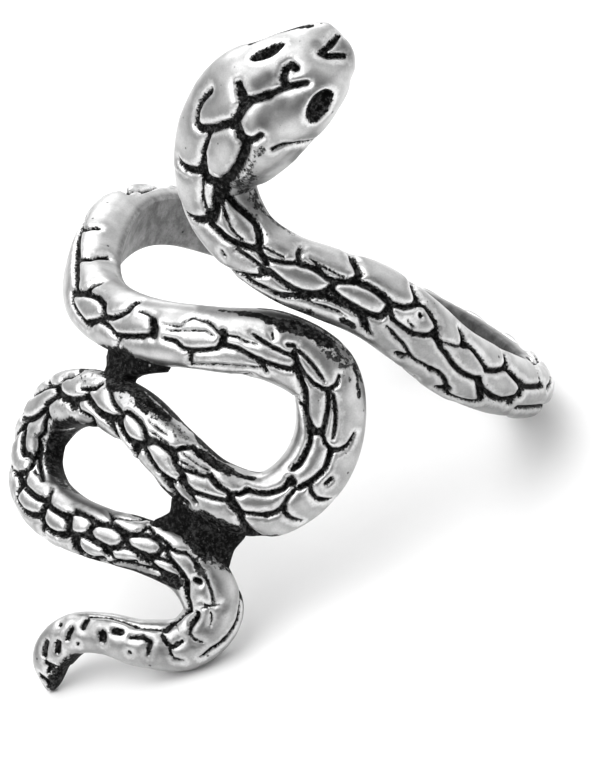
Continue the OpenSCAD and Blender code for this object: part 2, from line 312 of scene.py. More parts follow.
@dataclass(frozen=True)
class SnakeForm:
    """Plain skin of the snake as it is wound on the finger, in millimetres and degrees.

    The part of the thickness that lies under the axis is the share named under. The head's lift
    and roll fade out between the rows neck_from and neck_to, the roll by roll_lag later. A power
    under 1 makes a section squarer than an ellipse. Where the belly lies on the finger, the body
    is thicker by bore_stock, and what would reach into the finger is pressed out to its surface.
    """

    bore_r: float = 8.85
    head_lift: float = 2.5
    head_roll: float = 4.0
    neck_from: float = 2.5
    neck_to: float = 11.5
    under: float = 0.45
    back_power: float = 0.9
    head_power: float = 0.78
    belly_power: float = 0.6
    bore_stock: float = 0.3
    stock_from: float = 1 / 3
    stock_lift: float = 1 / 8
    roll_lag: float = 1.5
    slope_step: float = 0.01

    def section(self, t: np.ndarray) -> np.ndarray:
        """Reads the route between its rows, on a smooth curve through them.

        Args:
            t: Places along the route, counted in rows.

        Returns:
            The route's columns at each place.
        """
        t = np.asarray(t, float)
        padded = np.vstack([2 * ROUTE[0] - ROUTE[1], ROUTE, 2 * ROUTE[-1] - ROUTE[-2]])
        i = np.clip(np.floor(t), 0, LAST_ROW - 1).astype(int)
        return curve(*(padded[i + k] for k in range(4)), (t - i)[..., None])

    def neck_share(self, t: np.ndarray) -> np.ndarray:
        """Share of the head's lift that is left at t."""
        return 1 - smooth(self.neck_from, self.neck_to, np.asarray(t, float))

    def axis(self, t: np.ndarray) -> np.ndarray:
        """Finds the middle of the body.

        Args:
            t: Places along the route.

        Returns:
            Points of the body's axis.
        """
        s = self.section(t)
        r = self.bore_r + self.head_lift * self.neck_share(t) + self.under * s[..., THICK]
        a = np.radians(s[..., PHI])
        return np.stack([r * np.sin(a), -r * np.cos(a), s[..., HEIGHT]], -1)

    def frames(self, t: np.ndarray) -> tuple[np.ndarray, np.ndarray, np.ndarray]:
        """Finds how the body is turned.

        Args:
            t: Places along the route.

        Returns:
            Axis point, and the sideways and outward directions, at each place.
        """
        t = np.asarray(t, float)
        along = unit(self.axis(t + self.slope_step) - self.axis(t - self.slope_step))
        a = np.radians(self.section(t)[..., PHI])
        side = unit(np.cross(along, np.stack([np.sin(a), -np.cos(a), 0 * a], -1)))
        out = np.cross(side, along)
        roll = np.radians(self.head_roll * self.neck_share(t - self.roll_lag))[..., None]
        return (self.axis(t), side * np.cos(roll) - out * np.sin(roll),
                out * np.cos(roll) + side * np.sin(roll))

    def skin(self, t: np.ndarray, a: np.ndarray, h: np.ndarray | float = 0.0,
             closing: np.ndarray | float = 1.0) -> np.ndarray:
        """Points of the skin.

        Args:
            t: Places along the route, one for each ring.
            a: Angles off the middle of the back, one for each point of a ring.
            h: Height over the plain skin.
            closing: Share of the section that is left, for each ring, where an end rounds off.

        Returns:
            Points, ring by ring.
        """
        s = self.section(t)[:, None]
        mid, side, out = (v[:, None] for v in self.frames(t))
        share = self.neck_share(t)[:, None]
        close = np.broadcast_to(np.asarray(closing, float), (len(t),))[:, None]
        ca, sa = np.cos(np.radians(a))[None], np.sin(np.radians(a))[None]
        back = self.back_power + (self.head_power - self.back_power) * share
        e = np.where(ca > 0, back, self.belly_power)
        low = smooth(0, 1, -ca / self.stock_from - 1) * smooth(0, 1, 1 - share / self.stock_lift)
        wide = (s[..., WIDTH] / 2 + h) * close
        high = (np.where(ca > 0, 1 - self.under, self.under) * s[..., THICK] + h
                + self.bore_stock * low) * close
        p = mid + side * (wide * power(sa, e))[..., None] + out * (high * power(ca, e))[..., None]
        r = np.hypot(p[..., 0], p[..., 1])
        p[..., :2] *= np.maximum(1, self.bore_r / r)[..., None]
        return p


@dataclass(frozen=True)
class Groove:
    """Cut line on the skin: half its width in millimetres, and its points."""

    half: float
    points: Line

    least_depth: ClassVar[float] = 0.04
    depth_growth: ClassVar[float] = 1.1
    most_depth: ClassVar[float] = 0.21
    shoulder_growth: ClassVar[float] = 0.35
    most_shoulder: ClassVar[float] = 0.045
    scratch_half: ClassVar[float] = 0.04
    tip_growth: ClassVar[float] = 6.0
    tip_range: ClassVar[Span] = (0.3, 0.9)

    @classmethod
    def each(cls, *lines: tuple) -> tuple["Groove", ...]:
        """Grooves, each from half its width and its points."""
        return tuple(cls(half, tuple(points)) for half, *points in lines)

    @property
    def depth(self) -> float:
        """Depth in millimetres: a wide groove is cut deeper than a scratch."""
        return min(self.least_depth + self.depth_growth * self.half, self.most_depth)

    @property
    def shoulder(self) -> float:
        """How far the skin rolls down beside the groove, in millimetres."""
        return min(self.shoulder_growth * self.half, self.most_shoulder)

    @property
    def tip_width(self) -> float:
        """Share of its width at an open end: a wide groove ends blunt, a scratch fine."""
        fine, blunt = self.tip_range
        return float(np.clip(fine + self.tip_growth * (self.half - self.scratch_half), fine, blunt))


@dataclass(frozen=True)
class Pit:
    """Hollow of the given depth in millimetres inside a round outline through its corners."""

    depth: float
    corners: Line

    steps: ClassVar[tuple[float, ...]] = (0, 0.25, 0.5, 0.75)

    @property
    def outline(self) -> Line:
        """Rounds the outline off.

        Returns:
            Its points, the first one again at the end.
        """
        p = np.array(self.corners)
        before, after, far = (np.roll(p, shift, axis=0) for shift in (1, -1, -2))
        made = np.stack([curve(before, p, after, far, f) for f in self.steps], axis=1)
        made = made.reshape(-1, 2)
        return tuple((float(t), float(a)) for t, a in np.vstack([made, made[:1]]))


@dataclass(frozen=True)
class Stain:
    """Band of oxide, grey film, painted shade or painted reflection: its strength, half its width
    in millimetres, and its points.
    """

    strength: float
    half: float
    points: Line

    @classmethod
    def each(cls, *lines: tuple) -> tuple["Stain", ...]:
        """Bands, each from its strength, half its width and its points."""
        return tuple(cls(strength, half, tuple(points)) for strength, half, *points in lines)


# Grooves that are listed one by one, from the nose to the tail: half the width in millimetres, then
# the points as row and angle
HEAD_GROOVES = Groove.each(
    (0.15, (0.23, 15), (0.84, 1), (1.27, -1), (1.14, -8), (0.5, -23)),
    (0.17, (2.65, -5), (2.6, 0), (2.39, 4), (2.2, 4), (2.16, 0)),
    (0.14, (2.17, -18), (2.47, -11), (2.78, -6), (3.14, -4)),
    (0.19, (3.14, -4), (3.47, -2), (3.67, -1)),
    (0.23, (3.67, -1), (3.75, 1), (3.73, 4)),
    (0.19, (3.73, 4), (3.7, 12)),
    (0.23, (3.75, -2), (4.04, -6), (4.23, -9)),
    (0.19, (4.44, 25), (4.79, 25), (5.09, 21), (5.37, 12), (5.27, 5), (4.87, -1), (4.46, -5),
     (4.2, -8)),
    (0.23, (4.18, -13), (4.24, -23), (4.2, -31), (4.45, -39), (4.91, -47), (5.43, -52), (6.27, -47),
     (6.53, -31)),
    (0.14, (4.15, -29), (4, -35), (3.77, -35)),
    (0.14, (5.07, -1), (5.37, -4), (5.8, -8)),
    (0.23, (5.8, -8), (6.2, -12)),
    (0.23, (6.2, -12), (6.49, -20), (6.53, -31)),
    (0.16, (6.76, 31), (6.8, 17), (6.72, 3), (6.5, -9)),
    (0.18, (6.42, -50), (7.97, -40), (8.31, -43), (8.58, -51), (8.8, -56)),
    (0.18, (6.66, -33), (7.52, -30), (8.22, -8), (8.35, 1)),
    (0.08, (6.57, -12), (7.28, -9), (7.87, -1), (8.17, 4)),
    (0.23, (6.37, -9), (6.5, -15), (6.75, -19)),
    (0.17, (7.85, 57), (7.99, 52), (8.15, 37), (8.26, 19), (8.28, 8), (8.24, -1)),
    (0.08, (7.12, -40), (8.2, -22), (8.44, -17)),
    (0.10, (3.81, -59), (3.49, -65), (3.28, -80), (3.16, -102)),
)
NECK_GROOVES = Groove.each(
    (0.15, (8.78, -59), (9, -53), (9.2, -41), (9.33, -27), (9.38, -15)),
    (0.15, (8.39, 10), (8.58, 6), (8.76, 4), (8.94, 0), (9.12, -5), (9.28, -10), (9.36, -14)),
    (0.07, (8.44, -17), (8.69, -11), (8.86, -10), (9, -12)),
    (0.10, (9.07, 5), (9.27, 4), (9.43, 5), (9.56, 6)),
    (0.14, (9.42, -13), (9.54, -6), (9.67, 0)),
    (0.10, (9.57, -8), (9.73, -9), (9.93, -14), (10.16, -22), (10.34, -23)),
    (0.06, (9.5, -23), (9.7, -23), (9.88, -23)),
    (0.11, (9.41, 43), (9.55, 35), (9.67, 26)),
    (0.13, (9.13, 72), (9.32, 53), (9.51, 50), (9.71, 49), (9.91, 47), (10.06, 51)),
    (0.13, (10.09, 48), (10.27, 38), (10.47, 32)),
    (0.07, (8.9, 30), (8.98, 33)),
    (0.11, (10.13, -57), (10.15, -42), (10.21, -31), (10.32, -24)),
    (0.13, (10.41, -25), (10.62, -23), (10.79, -19), (10.93, -14), (11.12, -15), (11.29, -19),
     (11.4, -23)),
    (0.06, (10.44, -39), (10.64, -34), (10.87, -30), (11.09, -27), (11.24, -26)),
    (0.15, (11.24, -97), (11.32, -66), (11.43, -50), (11.5, -39), (11.45, -25)),
    (0.13, (11.41, -24), (11.58, -25), (11.72, -25), (11.88, -23), (12.03, -18), (12.14, -16)),
    (0.19, (9.66, 12), (9.74, 15)),
    (0.15, (9.78, 8), (9.94, 11), (10.13, 16), (10.33, 20), (10.5, 21), (10.75, 17), (10.93, 9),
     (11.02, 2), (11.09, -9)),
    (0.12, (9.5, 56), (9.75, 49), (10.03, 47), (10.21, 45), (10.35, 37)),
    (0.14, (10.52, 28), (10.77, 22), (11.02, 13), (11.19, 14), (11.45, 17), (11.68, 20),
     (11.84, 22)),
    (0.06, (10.6, 32), (10.84, 34), (11.1, 31), (11.34, 30), (11.54, 36)),
    (0.14, (11.11, 1), (11.3, 7), (11.53, 11), (11.75, 14), (11.96, 14), (12.16, 10)),
    (0.17, (11.86, 25), (12, 37)),
    (0.12, (12.16, 10), (12.18, -1), (12.18, -10)),
)
SHANK_GROOVES = Groove.each(
    (0.13, (11.58, -24), (11.77, -23), (11.94, -20), (12.1, -16), (12.26, -16), (12.44, -21),
     (12.56, -33), (12.58, -40)),
    (0.13, (12.4, -96), (12.43, -67), (12.53, -53), (12.59, -43)),
    (0.11, (12.62, -43), (12.76, -47), (12.91, -41), (13.04, -35), (13.15, -28), (13.2, -18)),
    (0.17, (13.17, -16), (13.22, -15)),
    (0.11, (12.2, -13), (12.26, -4), (12.37, 2), (12.51, 4), (12.68, 4), (12.87, 3), (13.04, -3),
     (13.18, -13)),
    (0.09, (12.76, -27), (12.79, -25)),
    (0.05, (12.63, -7), (12.77, -4)),
    (0.09, (12.22, 0), (12.24, 1)),
    (0.12, (11.88, 28), (12.03, 41), (12.2, 49)),
    (0.08, (12.37, 17), (12.51, 19), (12.66, 23), (12.83, 25), (12.96, 30), (13.09, 37)),
    (0.20, (12.96, 51), (13, 50)),
    (0.08, (13.09, 37), (13.25, 38), (13.4, 34), (13.57, 32)),
    (0.11, (13.57, 32), (13.7, 28), (13.83, 30), (13.95, 36), (14.05, 47)),
    (0.11, (13.4, 90), (13.55, 85), (13.61, 77)),
    (0.23, (13.98, 59), (14.07, 49)),
    (0.13, (14.16, 60), (14.28, 59), (14.43, 56), (14.6, 48), (14.71, 40), (14.73, 30)),
    (0.12, (13.22, -13), (13.42, -5), (13.59, -3), (13.76, 1), (13.92, 4), (14.09, 5), (14.24, 4),
     (14.41, 2)),
    (0.06, (13.34, -10), (13.5, -17), (13.65, -22), (13.77, -32)),
    (0.15, (13.61, -60), (13.7, -49), (13.78, -36)),
    (0.12, (13.79, -34), (13.93, -40), (14.08, -37), (14.24, -30), (14.36, -24), (14.47, -18)),
    (0.13, (14.48, -16), (14.66, -21), (14.84, -30), (14.91, -37)),
    (0.13, (14.96, -71), (14.93, -55), (14.93, -40)),
    (0.14, (14.91, -37), (15.06, -30), (15.23, -24), (15.41, -17), (15.66, -15), (15.96, -19),
     (16.32, -26)),
    (0.15, (14.43, 2), (14.53, 10), (14.66, 15), (14.87, 19), (15.1, 19), (15.26, 13), (15.41, 7),
     (15.43, -1)),
    (0.12, (14.41, 2), (14.52, 14), (14.6, 23), (14.73, 33)),
    (0.18, (15.36, 20), (15.41, 19)),
    (0.14, (15.64, 28), (16.07, 23), (16.5, 18), (17.1, 21)),
    (0.17, (15.41, -17), (15.5, -8), (15.54, 1)),
    (0.12, (17.95, -109), (16.4, -90), (16.15, -65), (16.1, -44), (16.16, -30)),
    (0.17, (18.4, -68), (18.05, -69), (17.81, -57), (17.24, -49), (16.88, -33), (16.68, -21)),
    (0.11, (16.52, -23), (16.67, -23)),
    (0.15, (14.5, 84), (14.7, 81), (15.05, 78), (15.4, 75), (15.85, 72)),
)
LEFT_CURVE_GROOVES = Groove.each(
    (0.18, (26.9, -18), (27.52, -27), (28.25, -33), (28.71, -27), (28.99, -20), (29.16, -8)),
    (0.13, (27.31, -23), (27.42, -49), (27.41, -76)),
    (0.14, (28.38, -33), (28.51, -65), (28.29, -102)),
    (0.17, (29.13, -3), (29.38, -14), (29.48, -25), (29.51, -40), (29.55, -54)),
    (0.14, (29.05, 0), (29.19, 11), (29.41, 19), (29.63, 25), (29.75, 29), (29.87, 24)),
    (0.15, (29.48, -18), (29.67, -24), (29.85, -26), (30.05, -19), (30.13, -5), (30.11, 4),
     (29.97, 15), (29.81, 25)),
    (0.14, (30.16, 0), (30.34, -3), (30.51, -15), (30.6, -26), (30.62, -41), (30.66, -52)),
    (0.12, (30.13, 10), (30.3, 11), (30.4, 17), (30.49, 23), (30.61, 21), (30.8, 16), (30.98, 11)),
    (0.06, (30.79, -30), (30.9, -31), (30.99, -29), (31.1, -24)),
    (0.07, (30.57, 28), (30.5, 46)),
)
FIRST_RUN_GROOVES = Groove.each(
    (0.11, (30.98, 11), (31.11, 4), (31.16, -5)),
    (0.19, (31.11, -18), (31.17, -6), (31.17, 4)),
    (0.11, (31.36, 6), (31.53, 8), (31.65, 20), (31.8, 21), (31.99, 16), (32.15, 10), (32.23, 1)),
    (0.16, (32.23, 1), (32.24, -8), (32.23, -18)),
    (0.10, (31.77, 25), (31.73, 49)),
    (0.12, (32.24, 2), (32.45, 6), (32.6, 14), (32.76, 21), (32.93, 24), (33.18, 23), (33.38, 18),
     (33.46, 8)),
    (0.05, (32.3, -13), (32.47, -10), (32.56, -5), (32.73, -3)),
    (0.04, (31.27, -16), (31.43, -16), (31.59, -18), (31.63, -27), (31.74, -39), (31.91, -34)),
    (0.06, (31.95, -35), (32.06, -28), (32.16, -17)),
    (0.04, (31.37, -6), (31.68, -11), (31.97, -16), (32.11, -8)),
    (0.10, (32.66, -19), (32.81, -9), (32.97, -4), (33.18, -2), (33.3, -3)),
    (0.05, (32.91, -28), (32.95, -16)),
    (0.11, (33.18, -16), (33.27, -19)),
    (0.04, (31.72, 58), (32.13, 43), (32.49, 41), (32.76, 37)),
    (0.09, (31.5, 87), (31.8, 84), (32.05, 84), (32.33, 84), (32.63, 62)),
    (0.13, (32.79, 22), (32.88, 34), (32.96, 41)),
)
FIRST_BEND_GROOVES = Groove.each(
    (0.13, (33.31, -9), (33.39, 0), (33.45, 7)),
    (0.09, (33.35, -14), (33.5, -10), (33.68, -5), (33.85, -1), (34, 0)),
    (0.10, (33.46, 5), (33.64, 13), (33.9, 16), (34.12, 8), (34.18, -1), (34.15, -14),
     (34.05, -26)),
    (0.15, (33.46, 12), (33.69, 29), (34, 41), (34.41, 53)),
    (0.14, (34.41, 53), (34.65, 55), (34.85, 46), (34.96, 35), (34.96, 24)),
    (0.12, (34.2, 2), (34.45, 7), (34.7, 14), (34.93, 19)),
    (0.10, (34.3, -3), (34.53, -2), (34.77, -1), (35.07, 1)),
    (0.10, (34.96, 22), (35.18, 12), (35.28, 0), (35.25, -13), (35.16, -26), (35.03, -34),
     (34.95, -39)),
    (0.14, (35.32, 0), (35.5, -1), (35.65, -2)),
    (0.14, (35.75, 0), (35.93, 3), (36.11, 7), (36.23, 10)),
    (0.16, (34.39, 73), (34.65, 58), (34.95, 48), (35.25, 44), (35.52, 45), (35.84, 45),
     (36.04, 49)),
    (0.10, (36.05, 2), (36.15, -7), (36.17, -24), (36.11, -42), (36.05, -61)),
    (0.12, (35.87, -19), (35.77, -22)),
    (0.10, (36.34, 13), (36.53, 8), (36.67, 0), (36.72, -12), (36.68, -28), (36.57, -51)),
    (0.13, (37.43, 37), (37.14, 33), (36.76, 30), (36.52, 27), (36.32, 32)),
    (0.18, (36.26, 36), (36.27, 26)),
    (0.12, (38.07, 27), (37.89, 20), (37.7, 16), (37.54, 22), (37.42, 35)),
    (0.13, (37.68, 11), (37.58, 3), (37.49, -5), (37.44, -12)),
    (0.10, (37.44, -10), (37.26, -7), (37.03, -8)),
    (0.12, (37, -8), (36.86, -7), (36.69, -2)),
    (0.16, (37.44, -12), (37.4, -26), (37.31, -41), (37.2, -58), (37.11, -78)),
)
SECOND_RUN_GROOVES = Groove.each(
    (0.14, (40.71, -5), (40.59, -11), (40.48, -17), (40.31, -23), (40.15, -26)),
    (0.11, (40.32, 30), (40.22, 17), (40.11, 10), (40, 7), (39.9, 3)),
    (0.14, (40.77, 3), (40.61, -6), (40.48, -15), (40.29, -18), (40.08, -13), (39.93, -4)),
    (0.14, (39.92, -5), (39.83, -16), (39.71, -26), (39.57, -28), (39.43, -20), (39.32, -10)),
    (0.12, (39.87, 14), (39.73, 17), (39.59, 17), (39.46, 12), (39.35, 4), (39.29, -2)),
    (0.20, (40.13, -22), (39.97, -40), (39.79, -64), (39.56, -68)),
    (0.15, (39.98, -11), (39.81, -20), (39.66, -30), (39.52, -34), (39.41, -35)),
    (0.13, (39.44, -27), (39.31, -14), (39.19, -16), (39.06, -24), (38.89, -31), (38.71, -32),
     (38.56, -24)),
    (0.12, (39.28, -3), (39.19, 10), (39.06, 16), (38.94, 16), (38.83, 13), (38.73, 5), (38.61, 1),
     (38.49, -2)),
    (0.14, (38.91, 21), (38.78, 14)),
    (0.09, (39.34, 5), (39.22, 10), (39.1, 15), (38.96, 16)),
    (0.04, (39.35, 18), (39.22, 23), (39.06, 24), (38.96, 22)),
    (0.05, (39.47, 32), (39.36, 35), (39.23, 36), (39.13, 41)),
    (0.12, (38.88, 23), (38.82, 36), (38.75, 54), (38.71, 67)),
    (0.09, (38.63, 3), (38.51, 9), (38.37, 18), (38.24, 23), (38.15, 32)),
    (0.13, (38.68, 63), (38.53, 59), (38.35, 60), (38.16, 58)),
    (0.05, (38.68, 15), (38.56, 20), (38.41, 23)),
    (0.04, (38.72, 31), (38.57, 33), (38.37, 35), (38.22, 40)),
    (0.19, (39.36, -29), (39.38, -54), (39.27, -66), (39.11, -71), (38.95, -72)),
    (0.11, (38.15, 32), (38.03, 25), (37.91, 19)),
    (0.11, (38.49, -2), (38.37, -11), (38.23, -13), (38.06, -7), (37.89, -3), (37.68, 2)),
    (0.18, (38.7, -34), (38.52, -42), (38.35, -50), (38.23, -48)),
    (0.12, (38.5, -12), (38.37, -15), (38.23, -23), (38.12, -30)),
    (0.10, (37.68, 2), (37.61, -6), (37.51, -10)),
)
SECOND_BEND_GROOVES = Groove.each(
    (0.09, (45.72, -25), (45.73, -37), (45.69, -49), (45.61, -60)),
    (0.10, (42.7, 33), (42.4, 18), (42.11, 14), (41.87, 15), (41.6, 12)),
    (0.08, (42.05, 41), (41.84, 17)),
    (0.13, (41.57, 12), (41.52, 25), (41.43, 35), (41.3, 39), (41.23, 51)),
    (0.15, (41.56, 10), (41.47, -2), (41.31, -10), (41.12, -12), (40.92, -6), (40.76, 1)),
    (0.13, (40.94, 14), (40.77, 18), (40.64, 25), (40.6, 38)),
    (0.15, (42.78, -17), (42.54, -29), (42.3, -33), (42.06, -29), (41.9, -18), (41.72, -13),
     (41.54, -5)),
    (0.13, (42.65, 33), (42.75, 27), (42.85, 21), (42.98, 24), (42.95, 1), (42.87, -11)),
    (0.18, (41.58, 6), (41.52, -5)),
    (0.19, (41.91, -22), (41.96, -33), (41.99, -47)),
    (0.15, (41.39, -12), (41.23, -17), (41.16, -28)),
    (0.22, (41.15, -20), (41.1, -27)),
    (0.12, (40.98, -19), (40.92, -35), (40.76, -38), (40.57, -41), (40.6, -66), (40.6, -81)),
    (0.14, (42.87, -11), (43.12, -15), (43.39, 4), (43.53, 24), (43.7, 24), (43.89, 28),
     (44.2, 12)),
    (0.18, (42.89, -21), (43.25, -27), (43.56, -27), (43.84, -29), (44.07, -37)),
    (0.12, (44.2, -49), (44.38, -59), (44.2, -72), (43.8, -80)),
    (0.11, (42.12, -50), (42.49, -75), (43.85, -80), (44.56, -73), (44.92, -66), (45.23, -57)),
    (0.14, (44.35, 5), (44.57, -10), (44.67, -28), (44.66, -42), (44.52, -55)),
    (0.19, (44.57, -10), (44.75, -6), (44.88, 0), (44.87, 13)),
    (0.15, (44.77, -24), (44.86, -14), (45.01, -10), (45.23, -13), (45.49, -16), (45.67, -22),
     (45.76, -30)),
    (0.16, (44.91, 30), (45.12, 31), (45.29, 31), (45.54, 22), (45.73, 11), (45.81, -1),
     (45.79, -12), (45.82, -20)),
    (0.16, (45.81, -1), (45.85, 10), (45.94, 22), (46.09, 29), (46.3, 28), (46.49, 19), (46.56, 8),
     (46.52, -4), (46.43, -17)),
    (0.14, (45.83, -19), (45.97, -17), (46.18, -17), (46.35, -16), (46.49, -15)),
    (0.15, (45.89, 27), (45.88, 49)),
    (0.07, (44.82, -50), (44.94, -53)),
)
THIRD_RUN_GROOVES = Groove.each(
    (0.09, (46.3, -20), (46.44, -24), (46.55, -32), (46.68, -38), (46.86, -38), (46.98, -27),
     (47.01, -15)),
    (0.11, (47.01, -15), (46.96, -3), (46.86, 4), (46.69, 10), (46.54, 9)),
    (0.13, (46.54, 9), (46.5, -7), (46.42, -19)),
    (0.09, (46.53, -42), (46.74, -41), (46.95, -39), (47.12, -34)),
    (0.08, (47.11, -31), (47.24, -33), (47.36, -40), (47.36, -56), (47.15, -80)),
    (0.09, (47.04, -20), (47.15, -28), (47.31, -30), (47.46, -30), (47.6, -22), (47.7, -12)),
    (0.11, (47, -5), (47.12, 6), (47.29, 11), (47.45, 16), (47.6, 10), (47.68, -1), (47.72, -10)),
    (0.10, (47.43, -39), (47.59, -31), (47.74, -24), (47.88, -27), (47.95, -41), (47.99, -61)),
    (0.07, (47.32, -59), (47.48, -62), (47.67, -64), (47.81, -76), (47.88, -99)),
    (0.11, (47.7, -12), (47.8, -22), (47.96, -30), (48.12, -36), (48.28, -32), (48.39, -21)),
    (0.11, (47.73, -7), (47.85, 4), (48.04, 7), (48.21, 8), (48.35, -1), (48.4, -17)),
    (0.09, (48.02, -64), (48.17, -45), (48.31, -39), (48.45, -32), (48.54, -25), (48.65, -25),
     (48.77, -32)),
    (0.16, (46.67, 12), (46.68, 30), (46.7, 48), (46.79, 57)),
    (0.10, (46.3, 30), (46.49, 21), (46.67, 12)),
    (0.17, (46.76, 13), (46.77, 31), (46.84, 47), (46.97, 58), (47.12, 61), (47.29, 52)),
    (0.11, (46.91, 6), (47.08, 9), (47.23, 15), (47.33, 21), (47.38, 33)),
    (0.18, (47.39, 26), (47.44, 32)),
    (0.08, (47.45, 18), (47.59, 14), (47.74, 8), (47.88, 8), (48.01, 14), (48.1, 21)),
    (0.07, (47.44, 37), (47.57, 45), (47.78, 44), (48.02, 31)),
    (0.18, (48.14, 11), (48.23, 18)),
    (0.09, (48.27, 9), (48.38, 4), (48.53, 2), (48.66, 1), (48.81, 7), (48.95, 12)),
    (0.08, (48.29, 19), (48.44, 26), (48.62, 29), (48.84, 22)),
    (0.09, (48.47, -21), (48.54, -7), (48.67, 0), (48.8, 5), (48.97, 10), (49.1, 14)),
    (0.08, (48.83, -31), (48.94, -27), (49.05, -20)),
    (0.09, (46.35, 78), (46.65, 78), (46.85, 81), (47.15, 83), (47.62, 50), (47.9, 46), (48.22, 37),
     (48.52, 32), (48.86, 26)),
)
TAIL_GROOVES = Groove.each(
    (0.04, (49.05, -17), (49.16, -25), (49.21, -19), (49.15, -11)),
    (0.15, (49.21, 0), (49.26, -3)),
    (0.07, (49.22, -19), (49.47, -12), (49.68, -6)),
    (0.04, (49.63, 15), (49.76, 8), (49.79, 18)),
    (0.05, (49.76, 8), (49.8, -16)),
    (0.13, (50.01, 30), (50.53, 32)),
    (0.07, (50.53, 32), (50.74, 18), (50.74, 3), (50.65, -10)),
    (0.05, (49.9, 3), (50.27, -1)),
    (0.09, (50.88, -38), (50.63, -37), (50.39, -50)),
    (0.12, (49.5, -99), (49.7, -96), (49.94, -69), (50.23, -55), (50.39, -50)),
    (0.14, (49.1, 17), (49.38, 41), (50.5, 73), (51.24, 74), (51.44, 47)),
    (0.06, (51.46, 47), (51.81, 48), (52.14, 50)),
    (0.11, (51.51, 30), (51.4, 10), (51.28, 4), (51.04, 13)),
    (0.06, (51.37, 1), (51.31, -20), (51.14, -31)),
    (0.12, (52.2, 17), (51.9, 23), (51.74, 11), (51.76, 2), (51.78, -15)),
    (0.18, (52.63, 22), (52.49, 24)),
    (0.20, (52.9, 4), (52.88, -9)),
    (0.07, (53.35, 57), (52.9, 65), (52.54, 63), (52.15, 54)),
    (0.13, (53.37, 40), (53.42, 14)),
    (0.15, (53.73, 11), (53.89, -14)),
    (0.17, (54.61, 10), (54.89, -4)),
    (0.18, (54.29, -14), (54.48, -32)),
    (0.10, (54.04, 35), (54.04, 31)),
    (0.07, (53.59, -33), (53.61, -37)),
    (0.12, (55.11, -17), (55.18, -44), (55.46, -24)),
    (0.14, (55.63, 21), (55.8, -20)),
    (0.07, (52.17, -18), (52.16, -21)),
)
